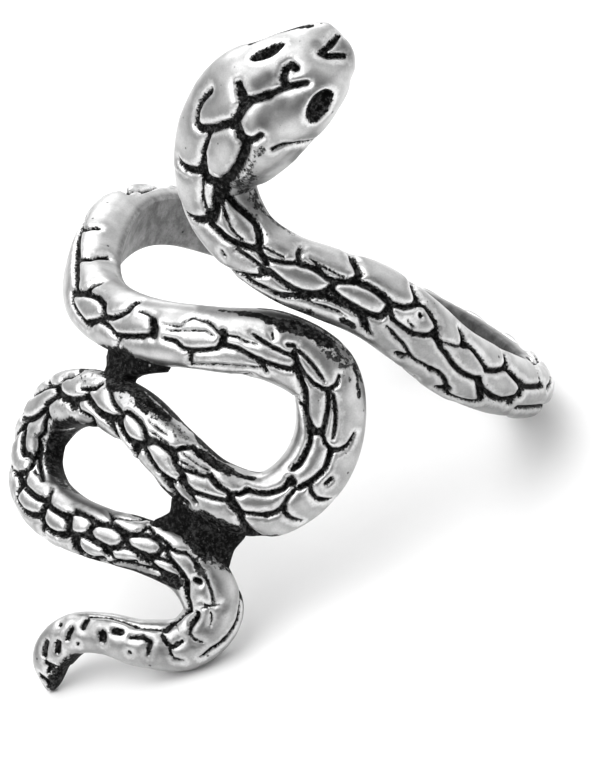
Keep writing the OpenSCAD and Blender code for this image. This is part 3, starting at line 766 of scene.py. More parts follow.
# Oxide that was left in bands on the high places, and one band of painted dark reflection along
# the head's upper edge
STAINS_AND_PAINTED_REFLECTION = Stain.each(
    (0.98, 0.44, (30.2, 78), (30.44, 76), (30.66, 64)),
    (0.98, 0.42, (30.15, 80), (30.6, 82), (31, 86)),
    (0.98, 0.25, (31, 86), (31.3, 90)),
    (0.70, 0.20, (31.3, 90), (31.7, 92)),
    (0.80, 0.14, (31.3, 88), (31.7, 89), (32.1, 87)),
    (0.97, 0.37, (40.62, 78), (40.36, 48), (40.2, 57), (40.08, 67), (39.94, 67)),
    (0.97, 0.29, (39.83, 63), (39.67, 63), (39.51, 65), (39.4, 69)),
    (0.98, 0.38, (40.6, 97), (40.1, 96), (39.7, 96), (39.4, 97)),
    (0.98, 0.15, (39.4, 99), (39.2, 100), (38.9, 100)),
    (0.98, 0.30, (38.75, 93), (38.4, 91), (38.1, 92)),
    (0.62, 0.30, (38, 97), (37.7, 99), (37.4, 100)),
    (0.52, 0.42, (39.46, 53), (39.22, 58), (38.93, 59)),
    (0.40, 0.34, (40.12, 33), (39.83, 31)),
    (0.80, 0.17, (39.89, 51), (39.77, 43), (39.64, 42)),
    (0.95, 0.30, (38.58, 60), (38.36, 64), (38.06, 63), (37.89, 61)),
    (0.85, 0.13, (37.85, 57), (37.6, 60), (37.34, 63)),
    (0.75, 0.26, (41.24, 69), (41.15, 81), (41.05, 87), (40.95, 90)),
    (0.43, 0.46, (41.05, 32), (40.82, 46)),
    (0.62, 0.41, (41, 87), (40.65, 70)),
    (0.46, 0.29, (40.59, 53), (40.6, 63)),
    (0.98, 0.42, (41.82, -79), (41.58, -87), (41.25, -76)),
    (0.98, 0.50, (42.3, -100), (42.7, -112), (43.2, -114), (44, -112), (44.5, -106), (45, -100)),
    (0.62, 0.50, (45, -105), (45.4, -100), (45.8, -95)),
    (0.55, 0.27, (42.02, -63), (42.14, -81), (42.07, -87)),
    (0.90, 0.22, (42.14, -118), (41.66, -114), (40.55, -63)),
    (0.37, 0.54, (41.52, -34), (41.57, -44)),
    (0.42, 0.26, (43.76, -60), (42.66, -66)),
    (0.40, 0.28, (44.39, -44), (44.55, -36)),
    (0.95, 0.32, (48.07, -85), (48.31, -90), (48.58, -75), (48.8, -60), (48.99, -53)),
    (0.97, 0.60, (48.5, -102), (48.74, -105), (49, -90), (49.25, -102)),
    (0.56, 0.41, (49.07, -41), (49.23, -66), (49.45, -99)),
    (0.70, 0.21, (48.95, -28), (49.11, -18)),
    (0.97, 0.27, (46.4, 78), (46.65, 81), (47, 81), (47.25, 84), (47.55, 84), (48, 75), (48.3, 70),
     (48.66, 49), (48.96, 36)),
    (0.90, 0.13, (48.35, 29), (48.58, 34), (48.84, 28)),
    (0.97, 0.50, (38.35, -75), (38.14, -84), (37.89, -58), (37.66, -59), (37.46, -65), (37.3, -78)),
    (0.98, 0.40, (38.6, -78), (38.2, -80), (37.8, -80), (37.4, -80), (37, -80)),
    (0.92, 0.14, (49.4, -99), (49.8, -97), (50.4, -95)),
    (0.98, 0.42, (47.7, -98), (48.1, -98), (48.6, -98), (49.1, -98), (49.4, -98)),
    (0.70, 0.15, (49.5, -102), (50, -92), (50.4, -88)),
    (0.98, 0.33, (32.7, -94), (33, -94), (33.3, -93), (33.6, -91)),
    (0.64, 0.40, (33.6, -85), (33.9, -80), (34.2, -76)),
    (0.62, 0.16, (31.4, -90), (31.9, -92), (32.4, -93)),
    (0.66, 0.12, (32.1, -66), (32.5, -60)),
    (0.92, 0.16, (32.45, -60), (32.7, -56), (32.95, -48)),
    (0.95, 0.10, (32.66, -56), (32.82, -50)),
    (0.97, 0.18, (32.83, -48), (32.98, -48)),
    (0.98, 0.33, (33.03, -46), (33.24, -53), (33.45, -55), (33.64, -55)),
    (0.62, 0.42, (33.59, -44), (33.79, -42), (33.94, -44)),
    (0.50, 0.24, (34.01, -42), (34.15, -41)),
    (0.80, 0.13, (33.96, -97), (34.08, -62), (34.26, -52), (34.41, -50)),
    (0.97, 0.49, (54.37, -99), (55.53, -119), (55.86, -73)),
    # Painted dark reflection along the head's upper edge, drawn as a black band
    (0.95, 0.13, (3.03, 65), (2.55, 75), (1.9, 75), (1.22, 59), (0.94, 49)),
    (0.55, 0.21, (3.98, -48), (4.47, -53), (4.88, -58)),
    (0.62, 0.44, (5.03, -70), (8.2, -89), (8.56, -87)),
    (0.60, 0.24, (8.7, -90), (9.14, -92), (9.5, -90), (9.78, -87)),
    (0.80, 0.26, (10.12, 73), (10.41, 80), (10.79, 59)),
    (0.90, 0.18, (11.53, 44), (11.75, 47)),
)
# Thin grey film that was left in bands, and bands of painted shade on the neck's side under the
# head and on the shank's side
GREY_FILMS_AND_PAINTED_SHADE = Stain.each(
    # Grey film, and painted shade that dims the bright floor mirrored in the shank's side
    (0.34, 1.00, (12.3, 62), (14, 56), (15.5, 48), (16.8, 40)),
    (0.24, 0.80, (13, 0), (15, -5), (16.5, -5)),
    (0.75, 0.70, (17.2, 165), (19, 165), (21, 165)),
    (0.75, 0.70, (17.2, -165), (19, -165), (21, -165)),
    (0.85, 0.34, (31.8, -68), (32.3, -66), (32.8, -66)),
    # Painted shade on the neck's side under the head
    (0.75, 0.70, (5.6, -88), (7, -90), (8.2, -90), (9.2, -94)),
    (0.80, 0.50, (6, -66), (7.4, -64), (8.6, -72)),
    (0.22, 0.80, (50.6, 0), (52, 0), (53.5, 0)),
    (0.85, 0.34, (45.1, -104), (45.6, -88), (46.2, -78), (46.8, -74), (47.3, -76)),
    (0.85, 0.50, (42.6, -142), (43, -150), (43.5, -152), (44, -147), (44.5, -138), (45, -128),
     (45.5, -118), (46, -110)),
    (0.75, 0.40, (45.3, -78), (45.8, -86), (46.3, -92), (46.8, -92)),
    (0.85, 0.33, (46.08, -76), (46.4, -70), (46.6, -87)),
    (0.60, 0.24, (40.89, -59), (40.54, -48)),
    (0.75, 0.24, (46.45, -52), (46.76, -61), (47.09, -66)),
    (0.60, 0.29, (46.45, 75), (46.9, 78), (47.25, 81), (47.72, 70), (48.22, 47)),
    (0.75, 0.24, (31.85, -67), (32.41, -70), (32.73, -64), (33, -67), (33.19, -80)),
    (0.60, 0.15, (30.76, -50), (31.2, -57), (31.63, -60), (31.86, -63)),
    (0.40, 0.60, (29.82, -67), (30.1, -78), (30, -102)),
    (0.90, 0.30, (3.24, 5), (2.9, 5)),
    (0.80, 0.34, (3.51, -21), (3.21, -14), (2.99, -16)),
    (0.60, 0.18, (1.17, 9), (1.15, 4)),
    (0.60, 0.30, (0.5, 0), (0.21, -24)),
    (0.60, 0.30, (4.31, -32), (4.66, -41), (5.46, -54)),
    (0.50, 0.25, (8.34, -42), (8.47, -55)),
)
# Eye sockets, one on each side of the head
EYES = (
    Pit(0.45, ((1.78, -56), (1.9, -69), (2.23, -77), (2.58, -76), (2.74, -67), (2.73, -52),
        (2.57, -42), (2.26, -37), (1.92, -41))),
    Pit(0.35, ((1.98, 32), (2.2, 39), (2.6, 41), (3.0, 37), (3.16, 31), (2.9, 25), (2.5, 22),
        (2.15, 25))),
)
GROOVES = (HEAD_GROOVES + NECK_GROOVES + SHANK_GROOVES + LEFT_CURVE_GROOVES + FIRST_RUN_GROOVES
           + FIRST_BEND_GROOVES + SECOND_RUN_GROOVES + SECOND_BEND_GROOVES + THIRD_RUN_GROOVES
           + TAIL_GROOVES)


@dataclass
class Ruler:
    """Measures places on the plain skin in millimetres along the route and across the back."""

    form: SnakeForm
    step: float = 0.02
    reach: float = 0.1
    across_points: int = 40

    def __post_init__(self) -> None:
        """Measures the axis once, to one row past both of its ends."""
        self.rows = np.arange(-1, LAST_ROW + 1 + self.step / 2, self.step)
        steps = np.linalg.norm(np.diff(self.form.axis(self.rows), axis=0), axis=1)
        self.lengths = np.concatenate([[0], np.cumsum(steps)])

    def along(self, t: np.ndarray) -> np.ndarray:
        """Length along the axis at places t."""
        return np.interp(t, self.rows, self.lengths)

    def row_at(self, s: np.ndarray) -> np.ndarray:
        """Place t at length s along the axis."""
        return np.interp(s, self.lengths, self.rows)

    def row_length(self, t: float) -> float:
        """Length of one row of the route at t."""
        return float(self.along(t + self.reach) - self.along(t - self.reach)) / (2 * self.reach)

    def place(self, t: float, a: float) -> tuple[float, float]:
        """Measures where a point of the skin is.

        Args:
            t: Its place along the route.
            a: Its angle off the middle of the back.

        Returns:
            Length along the axis, and length across the back.
        """
        ring = self.form.skin(np.array([t]), np.linspace(0, a, self.across_points))[0]
        across = np.linalg.norm(np.diff(ring, axis=0), axis=1).sum()
        return float(self.along(t)), float(np.sign(a) * across)


@dataclass(frozen=True)
class ScaleLayout:
    """Where the scales sit that aren't cut along listed grooves, in millimetres, degrees and rows
    of the route.

    They lie in staggered rows, from each_side rows left of the back to as many right of it. Along
    both edges of the belly the last row of scales is cut off straight.
    """

    pitch_rows: tuple[float, ...] = (7, 10, 31, 35, 38, 43, 50)
    pitches: tuple[float, ...] = (2.2, 2.6, 2.6, 2.1, 1.75, 1.55, 1.6)
    first_row: float = 6.5
    last_row: float = 50.5
    each_side: int = 3
    row_angle: float = 35.0
    belly_angle: float = 128.0
    belly_over: float = 2.0
    belly_step: float = 0.5
    squeeze: float = 0.62
    corner_round: float = 14.0
    reach: float = 3.6
    rings_at_once: int = 40

    def rows_long(self, ruler: Ruler, t: float) -> float:
        """Rows of the route that one scale takes at t."""
        return np.interp(t, self.pitch_rows, self.pitches) / ruler.row_length(t)

    def filled(self, ruler: Ruler) -> np.ndarray:
        """Lays out the scales.

        Args:
            ruler: Measures places on the skin.

        Returns:
            One line for each scale: length along, length across, and its number, or -1 for a
            place on the belly.
        """
        made = []
        for k in range(-self.each_side, self.each_side + 1):
            t = self.first_row + (0.5 if k % 2 else 0) * self.rows_long(ruler, self.first_row)
            while t < self.last_row:
                made.append((*ruler.place(t, k * self.row_angle), len(made)))
                t += self.rows_long(ruler, t)
        for side in (-1, 1):
            for t in np.arange(self.first_row - self.belly_over, self.last_row + self.belly_over,
                               self.belly_step):
                made.append((*ruler.place(t, side * self.belly_angle), -1))
        return np.array(made)

    def gaps(self, seeds: np.ndarray, along: np.ndarray, across: np.ndarray,
             stretch: np.ndarray) -> tuple[np.ndarray, np.ndarray]:
        """Distance from each point to the middle of the nearest groove.

        Args:
            seeds: Scales, as filled() gives them.
            along: Length along the route, one for each ring.
            across: Length across the back for each point.
            stretch: How much longer the skin is than the axis at each point.

        Returns:
            Distance in millimetres, and the index of the scale that each point lies on.
        """
        gap, owner = np.full(across.shape, FAR), np.zeros(across.shape, int)
        for i in range(0, len(along), self.rings_at_once):
            part = slice(i, i + self.rings_at_once)
            s = along[part]
            near = np.flatnonzero((seeds[:, 0] > s.min() - self.reach)
                                  & (seeds[:, 0] < s.max() + self.reach))
            if len(near) < 2:
                continue
            local = seeds[near]
            ds = (s[:, None, None] - local[:, 0]) * self.squeeze
            dv = across[part][..., None] - local[:, 1]
            d2 = ds ** 2 + dv ** 2
            first = d2.argmin(-1)
            own = local[first]
            step_s = (local[:, 0] - own[..., 0:1]) * self.squeeze
            step_v = local[:, 1] - own[..., 1:2]
            size = np.hypot(step_s, step_v) + NO_ZERO
            edge = (d2 - np.take_along_axis(d2, first[..., None], -1)) / (2 * size)
            edge = edge / np.hypot(step_s / size * self.squeeze / stretch[part][..., None],
                                   step_v / size)
            edge[own[..., 2:3] == local[:, 2]] = FAR
            gap[part] = -np.log(np.exp(-self.corner_round * edge).sum(-1)) / self.corner_round
            owner[part] = near[first]
        return gap, owner


@dataclass
class Skin:
    """The whole skin of the snake as one fine grid, with its relief, from which pieces are cut.

    Lengths are in millimetres, angles in degrees and places along the body in rows of the route.
    A span says where a change starts and where it is complete.
    """

    form: SnakeForm
    rest: Rest
    scales: ScaleLayout = ScaleLayout()

    # Spacing of the grid: wider where the finger hides the body, and under the belly
    fine: float = 0.052
    coarse: float = 0.12
    belly_step: float = 0.13
    hidden_from: Span = (16.5, 18)
    hidden_to: Span = (24.5, 26)
    belly_from: Span = (112, 128)
    usual_row: float = 31.0
    trial_steps: int = 1440
    stretch_range: Span = (0.25, 3)

    # Rounded ends: where they start, how long they are, and their number of rings
    nose_row: float = 0.3
    nose_long: float = 0.55
    tail_room: float = 0.45
    tail_long: float = 0.62
    end_rings: int = 25

    # Where the laid-out scales are left away
    scales_from: Span = (8.6, 9.4)
    scales_to: Span = (48.9, 49.3)
    outer_from: Span = (33.4, 34.0)
    outer_to: Span = (37.0, 37.6)
    outer_side: Span = (38, 52)
    belly_side: Span = (100, 112)
    hand_fade_rows: float = 0.3
    hand_fade: float = 6.0

    # Laid-out scales: each leans a little its own way, and the grooves between them wander
    warps: tuple[Ripple, ...] = (Ripple(0.05, 0.6, 31.7), Ripple(0.06, 0.7))
    lean: tuple[float, float, float] = (0.05, 0.08, 0.02)
    lean_most: float = 0.07
    lean_from: Span = (0.1, 0.3)
    scale_shoulder: float = 0.13
    shoulder_long: float = 0.2
    groove_depth: float = 0.2
    groove_half: float = 0.11
    groove_wall: Span = (0.03, 0.17)
    dome: float = 0.10
    dome_long: float = 0.2
    most_gap: float = 0.9

    # Grooves that are listed one by one
    reach: float = 1.2
    touching: float = 0.12
    tip_long: float = 0.4
    junction: float = 0.15
    fade_long: float = 0.15
    rim_long: float = 0.12
    line_wall: Span = (-0.11, 0.02)
    line_far: float = 2.0
    tail_tip: Span = (50.3, 51.0)
    tail_shallow: float = 0.45
    frays: tuple[Ripple, ...] = (Ripple(0.02, 0.22, 11.3), Ripple(0.012, 0.1, 3.7))
    eye_wall: Span = (-0.3, 0.08)

    # Marks for the finish, and room between the skin and the solid's box
    residue: float = 0.14
    residue_at_groove: float = 0.14
    residue_from: float = 0.1
    residue_long: float = 0.12
    band_edge: Span = (0.35, 1.9)
    bore_near: Span = (0.4, 0.1)
    belly_film: float = 0.7
    film_from: Span = (118, 150)
    skin_inset: float = 0.015
    box_inset: float = 0.001

    grain_seed: int = 7
    lean_seed: int = 3

    def __post_init__(self) -> None:
        """Lays out the grid, works out its relief and marks it for the finish."""
        self.ruler = Ruler(self.form)
        self.grain = Grain(self.grain_seed)
        self.lay_rings()
        self.lay_angles()
        self.measure()
        h, gap = self.relief()
        points = self.form.skin(self.rows, self.angles, h - self.skin_inset, self.closing)
        self.mark(gap, points)
        inset = self.box_inset * MM
        self.points = np.clip(self.rest.laid(points), np.array(CAD_BOX[0]) + inset,
                              np.array(CAD_BOX[1]) - inset)
        self.normals = self.outward(points)

    def lay_rings(self) -> None:
        """Places the rings: close together where the snake is seen, wider behind the finger."""
        s, stops = float(self.ruler.along(self.nose_row)), [self.nose_row]
        while stops[-1] < LAST_ROW - self.tail_room:
            t = np.array(stops[-1])
            hidden = smooth(*self.hidden_from, t) * (1 - smooth(*self.hidden_to, t))
            s += self.fine + (self.coarse - self.fine) * float(hidden)
            stops.append(float(self.ruler.row_at(s)))
        turn = np.linspace(math.pi / 2, 0, self.end_rings + 1)[:-1]
        nose = self.nose_row - self.nose_long * np.sin(turn)
        tail = stops[-1] + self.tail_long * np.sin(turn[::-1])
        self.rows = np.concatenate([nose, stops, tail])
        self.closing = np.concatenate([np.cos(turn), np.ones(len(stops)), np.cos(turn[::-1])])

    def lay_angles(self) -> None:
        """Places the points of a ring: evenly over the back, wider under the belly."""
        trial = np.linspace(-180, 180, self.trial_steps + 1)
        ring = self.form.skin(np.array([self.usual_row]), trial)[0]
        under = smooth(*self.belly_from, np.abs((trial[1:] + trial[:-1]) / 2))
        spacing = self.fine + (self.belly_step - self.fine) * under
        step = np.linalg.norm(np.diff(ring, axis=0), axis=1)
        count = np.concatenate([[0], np.cumsum(step / spacing)])
        self.angles = np.interp(np.linspace(0, count[-1], int(count[-1]) + 1), count, trial)
        self.angles[0], self.angles[-1] = -180, 180

    def measure(self) -> None:
        """Measures the plain skin: lengths along and across, and stretch against the axis."""
        self.plain = self.form.skin(self.rows, self.angles)
        self.s = self.ruler.along(self.rows)
        step = np.linalg.norm(np.diff(self.plain, axis=1), axis=-1)
        total = np.concatenate([np.zeros((len(self.rows), 1)), np.cumsum(step, axis=1)], axis=1)
        back = np.array([np.interp(0, self.angles, row) for row in total])
        self.v = total - back[:, None]
        real = np.linalg.norm(np.gradient(self.plain, axis=0), axis=-1)
        self.stretch = np.clip(real / (np.gradient(self.s)[:, None] + NO_ZERO),
                               *self.stretch_range)

    def spots(self, points: Line) -> tuple[np.ndarray, slice]:
        """Measures where a line lies.

        Args:
            points: The line's points as row and angle.

        Returns:
            Their places in millimetres, and the rings that lie near them.
        """
        made = np.array([self.ruler.place(t, a) for t, a in points])
        near = np.flatnonzero((self.s > made[:, 0].min() - self.reach)
                              & (self.s < made[:, 0].max() + self.reach))
        return made, slice(near[0], near[-1] + 1)

    def line_gap(self, points: Line) -> tuple[slice, np.ndarray]:
        """Distance from a line on the skin.

        Args:
            points: The line's points as row and angle.

        Returns:
            The rings that it may reach, and the distance at each of their points.
        """
        spots, part = self.spots(points)
        best = np.full(self.v[part].shape, FAR)
        for p, q in zip(spots[:-1], spots[1:]):
            x, y = (self.s[part] - p[0])[:, None] * self.stretch[part], self.v[part] - p[1]
            dx, dy = (q[0] - p[0]) * self.stretch[part], q[1] - p[1]
            f = np.clip((x * dx + y * dy) / (dx * dx + dy * dy + NO_ZERO), 0, 1)
            best = np.minimum(best, np.hypot(x - f * dx, y - f * dy))
        return part, best

    def outline_gap(self, outline: Line) -> tuple[slice, np.ndarray]:
        """Distance from an outline on the skin, below zero inside it.

        Args:
            outline: Its points as row and angle, the first one again at the end.

        Returns:
            The rings that it may reach, and the distance at each of their points.
        """
        part, away = self.line_gap(outline)
        corners, _ = self.spots(outline)
        inside = np.zeros(away.shape, bool)
        s, v = self.s[part][:, None], self.v[part]
        for p, q in zip(corners[:-1], corners[1:]):
            if p[1] != q[1]:
                crosses = (p[1] > v) != (q[1] > v)
                inside ^= crosses & (s < p[0] + (v - p[1]) * (q[0] - p[0]) / (q[1] - p[1]))
        return part, np.where(inside, -away, away)

    def open_tips(self, grooves: tuple[Groove, ...]) -> list[tuple[Groove, np.ndarray]]:
        """Finds the ends of grooves that run out in the open, away from every other groove.

        Args:
            grooves: All cut lines of the skin.

        Returns:
            Each groove with the places, in millimetres, of its open ends.
        """
        lines = [np.array([self.ruler.place(t, a) for t, a in groove.points])
                 for groove in grooves]
        owner = np.concatenate([np.full(len(line) - 1, k) for k, line in enumerate(lines)])
        start = np.concatenate([line[:-1] for line in lines])
        step = np.concatenate([line[1:] - line[:-1] for line in lines])
        half = np.array([groove.half for groove in grooves])
        found = []
        for k, (groove, line) in enumerate(zip(grooves, lines)):
            tips = []
            length = np.linalg.norm(line[1:] - line[:-1], axis=1).sum()
            for tip in (line[0], line[-1]) if length > self.tip_long else ():
                share = ((tip - start) * step).sum(1) / ((step ** 2).sum(1) + NO_ZERO)
                share = np.clip(share, 0, 1)
                away = np.linalg.norm(start + share[:, None] * step - tip, axis=1) - half[owner]
                if away[owner != k].min() > groove.half + self.touching:
                    tips.append(tip)
            found.append((groove, np.array(tips).reshape(-1, 2)))
        return found

    def thinned(self, groove: Groove, tips: np.ndarray, part: slice) -> np.ndarray:
        """Share of its width that a groove keeps: it thins towards its open ends.

        Args:
            groove: The cut line.
            tips: Places of its open ends.
            part: The rings that it may reach.

        Returns:
            The share at each point of those rings.
        """
        share = np.ones(self.v[part].shape)
        for s, v in tips:
            far = np.hypot((self.s[part] - s)[:, None] * self.stretch[part], self.v[part] - v)
            kept = groove.tip_width + (1 - groove.tip_width) * smooth(0, self.tip_long, far)
            share = np.minimum(share, kept)
        return share

    def scale_presence(self) -> np.ndarray:
        """Finds where the laid-out scales are.

        Returns:
            How clearly they are cut at each point: 1 on the back, and 0 where the skin is smooth
            or cut along listed grooves.
        """
        t, a = self.rows[:, None], self.angles[None]
        cut = smooth(*self.scales_from, t) * (1 - smooth(*self.scales_to, t))
        outer_bend = (smooth(*self.outer_from, t) * (1 - smooth(*self.outer_to, t))
                      * smooth(*self.outer_side, -a))
        by_hand = 0
        for rows, lows, highs in HAND_ZONES:
            low, high = np.interp(t, rows, lows), np.interp(t, rows, highs)
            span = (smooth(rows[0] - self.hand_fade_rows, rows[0], t)
                    * (1 - smooth(rows[-1], rows[-1] + self.hand_fade_rows, t)))
            by_hand = by_hand + (span * smooth(low - self.hand_fade, low, a)
                                 * (1 - smooth(high, high + self.hand_fade, a)))
        return (cut * (1 - outer_bend) * (1 - smooth(*self.belly_side, np.abs(a)))
                * (1 - by_hand))

    def lay_scales(self) -> tuple[np.ndarray, np.ndarray]:
        """Raises the laid-out scales.

        Returns:
            Height over the plain skin, and distance from the middle of the nearest groove, at
            each point.
        """
        seeds = self.scales.filled(self.ruler)
        across = sum((warp.at(self.grain, self.plain) for warp in self.warps), self.v)
        gap, owner = self.scales.gaps(seeds, self.s, across, self.stretch)
        presence = self.scale_presence()
        gap = gap + (1 - presence) * self.most_gap
        rng = np.random.default_rng(self.lean_seed)
        lean = (rng.uniform(-1, 1, (len(seeds), 3)) * self.lean)[owner]
        home = seeds[owner]
        tip = ((self.s[:, None] - home[..., 0]) * lean[..., 0]
               + (self.v - home[..., 1]) * lean[..., 1] + lean[..., 2])
        tip = (np.clip(tip, -self.lean_most, 0.0) * presence * (home[..., 2] >= 0)
               * smooth(*self.lean_from, gap))
        rolled = np.exp(-np.maximum(gap - self.groove_half, 0) / self.shoulder_long)
        return tip - self.scale_shoulder * rolled, gap

    def cut_lines(self) -> tuple[np.ndarray, np.ndarray, np.ndarray]:
        """Works out the listed grooves.

        Returns:
            At each point: distance from the edge of the nearest groove, the groove's depth there,
            and how far the skin rolls down beside it.
        """
        shape = self.v.shape
        lines, deep, rim = np.full(shape, self.line_far), np.zeros(shape), np.zeros(shape)
        for groove, tips in self.open_tips(GROOVES):
            part, away = self.line_gap(groove.points)
            own = away - groove.half * self.thinned(groove, tips, part)
            fade = np.exp(-np.maximum(own, 0) / self.fade_long)
            plain = smooth(*self.tail_tip, self.rows[part])[:, None]
            deep[part] = np.maximum(deep[part],
                                    groove.depth * fade * (1 - self.tail_shallow * plain))
            rim[part] = np.maximum(rim[part], groove.shoulder * fade * (1 - plain))
            lines[part] = blend(lines[part], own, self.junction)
        return lines, deep, rim

    def relief(self) -> tuple[np.ndarray, np.ndarray]:
        """Works out the relief from the scales, the grooves and the eyes.

        Returns:
            Height over the plain skin, and distance from the nearest groove, at each point.
        """
        h, gap = self.lay_scales()
        lines, deep, rim = self.cut_lines()
        fray = sum(ripple.at(self.grain, self.plain) for ripple in self.frays)
        cut = np.maximum(self.groove_depth * (1 - smooth(*self.groove_wall, gap)),
                         deep * (1 - smooth(*self.line_wall, lines)))
        h = np.minimum(h, -rim * np.exp(-np.maximum(lines, 0) / self.rim_long))
        gap = np.minimum(gap, lines + fray + self.groove_half)
        h = h - cut - self.dome * np.exp(-np.maximum(gap - self.groove_half, 0) / self.dome_long)
        for eye in EYES:
            part, edge = self.outline_gap(eye.outline)
            edge = edge + fray[part]
            h[part] = np.minimum(h[part], -eye.depth * (1 - smooth(*self.eye_wall, edge)))
            gap[part] = np.minimum(gap[part], edge + self.groove_half)
        return h, np.clip(gap, 0, self.most_gap)

    def mark(self, gap: np.ndarray, points: np.ndarray) -> None:
        """Marks the skin for its finish.

        Args:
            gap: Distance from the nearest groove.
            points: The skin's points on the finger.
        """
        near = np.exp(-np.maximum(gap - self.residue_from, 0) / self.residue_long)
        residue = self.residue + self.residue_at_groove * near
        bore = smooth(*self.bore_near,
                      np.hypot(points[..., 0], points[..., 1]) - self.form.bore_r)
        belly = self.belly_film * smooth(*self.film_from, np.abs(self.angles))[None]
        # The stains hold one painted dark reflection, and the films some painted shade
        self.marks = dict(zip(MARKS, (gap, np.maximum(self.oxide(STAINS_AND_PAINTED_REFLECTION), residue),
                                      self.oxide(GREY_FILMS_AND_PAINTED_SHADE), np.maximum(bore, belly))))

    def oxide(self, bands: tuple[Stain, ...]) -> np.ndarray:
        """Lays bands of oxide, grey film, painted shade or painted reflection over the skin.

        Args:
            bands: The bands.

        Returns:
            Strength of the band at each point.
        """
        made = np.zeros(self.v.shape)
        for band in bands:
            part, away = self.line_gap(band.points)
            strength = band.strength * (1 - smooth(*self.band_edge, away / band.half))
            made[part] = np.maximum(made[part], strength)
        return made

    def outward(self, points: np.ndarray) -> np.ndarray:
        """Finds the directions out of the body.

        Args:
            points: The skin's points on the finger.

        Returns:
            Unit normals of the grid, in the resting frame.
        """
        ring = points[:, :-1]
        round_it = (np.roll(ring, -1, axis=1) - np.roll(ring, 1, axis=1)) / 2
        round_it = np.concatenate([round_it, round_it[:, :1]], axis=1)
        n = unit(np.cross(np.gradient(points, axis=0), round_it))
        middle = self.form.axis(self.rows)[:, None]
        return self.rest.turned(n * np.sign(((points - middle) * n).sum(-1).mean()))


def deselect() -> None:
    """Leaves edit mode and selects nothing."""
    if bpy.context.object and bpy.context.object.mode != "OBJECT":
        bpy.ops.object.mode_set(mode="OBJECT")
    bpy.ops.object.select_all(action="DESELECT")


@dataclass
class Casting:
    """Piece of the ring's casting, modelled from a flat grid that is rolled up and closed."""

    name: str

    weld: ClassVar[float] = 1e-6  # metres

    def lay_grid(self, across: int, along: int) -> tuple[bpy.types.Object, np.ndarray, np.ndarray]:
        """Starts the piece as a flat grid.

        Args:
            across: Number of faces that will go round the piece.
            along: Number of faces that will go along it.

        Returns:
            The piece, and the place of each point across and along the grid, from 0 to 1.
        """
        deselect()
        bpy.ops.mesh.primitive_grid_add(x_subdivisions=across, y_subdivisions=along, size=1,
                                        calc_uvs=False)
        piece = bpy.context.object
        piece.name = piece.data.name = self.name
        flat = np.empty(len(piece.data.vertices) * 3)
        piece.data.vertices.foreach_get("co", flat)
        x, y, _ = flat.reshape(-1, 3).T + 0.5
        return piece, x, y

    def roll_up(self, piece: bpy.types.Object, points: np.ndarray,
                marks: dict[str, np.ndarray]) -> None:
        """Moves the grid's points to their places and marks them for the finish.

        Args:
            piece: The piece as a flat grid.
            points: Place of each point in metres.
            marks: Values at each point, by the name of the mark.
        """
        mesh = piece.data
        mesh.vertices.foreach_set("co", points.ravel())
        for name, values in marks.items():
            mesh.attributes.new(name, "FLOAT", "POINT").data.foreach_set("value", values)
        mesh.update()

    def close(self) -> None:
        """Welds the rolled grid along its seam, caps its ends and smooths it."""
        bpy.ops.object.mode_set(mode="EDIT")
        bpy.ops.mesh.select_all(action="SELECT")
        bpy.ops.mesh.remove_doubles(threshold=self.weld)
        bpy.ops.mesh.select_all(action="DESELECT")
        bpy.ops.mesh.select_mode(type="EDGE")
        bpy.ops.mesh.select_non_manifold(extend=False)
        bpy.ops.mesh.fill_holes(sides=0)
        bpy.ops.mesh.select_all(action="SELECT")
        bpy.ops.mesh.normals_make_consistent(inside=False)
        bpy.ops.mesh.select_mode(type="VERT")
        bpy.ops.object.mode_set(mode="OBJECT")
        bpy.ops.object.shade_smooth()

    def dress(self, piece: bpy.types.Object, material: bpy.types.Material) -> None:
        """Gives the finished piece its material and ties it to the ring's solid.

        Args:
            piece: The piece.
            material: Its finish.
        """
        piece.data.materials.clear()
        piece.data.materials.append(material)
        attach(piece, BODY)
        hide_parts(NODE)


@dataclass
class Stretch(Casting):
    """One length of the snake's body, cut from the skin between two rows of the route."""

    start: float
    end: float

    weld: ClassVar[float] = 2e-6  # metres

    def build(self, skin: Skin, material: bpy.types.Material) -> bpy.types.Object:
        """Models the stretch with the skin's own relief, marks and normals.

        Args:
            skin: The snake's skin.
            material: Its finish.

        Returns:
            The piece.
        """
        first = int(np.searchsorted(skin.rows, self.start))
        last = min(int(np.searchsorted(skin.rows, self.end)), len(skin.rows) - 1)
        across, along = len(skin.angles) - 1, last - first
        piece, x, y = self.lay_grid(across, along)
        mesh = piece.data
        at = np.rint(y * along).astype(int) + first, np.rint(x * across).astype(int)
        self.roll_up(piece, skin.points[at], {name: mark[at] for name, mark in skin.marks.items()})
        lean = mesh.attributes.new("lean", "FLOAT_VECTOR", "POINT")
        lean.data.foreach_set("vector", skin.normals[at].ravel())
        self.close()
        normals = np.empty(len(mesh.vertices) * 3)
        mesh.attributes["lean"].data.foreach_get("vector", normals)
        mesh.normals_split_custom_set_from_vertices(unit(normals.reshape(-1, 3)).tolist())
        mesh.attributes.remove(mesh.attributes["lean"])
        self.dress(piece, material)
        return piece


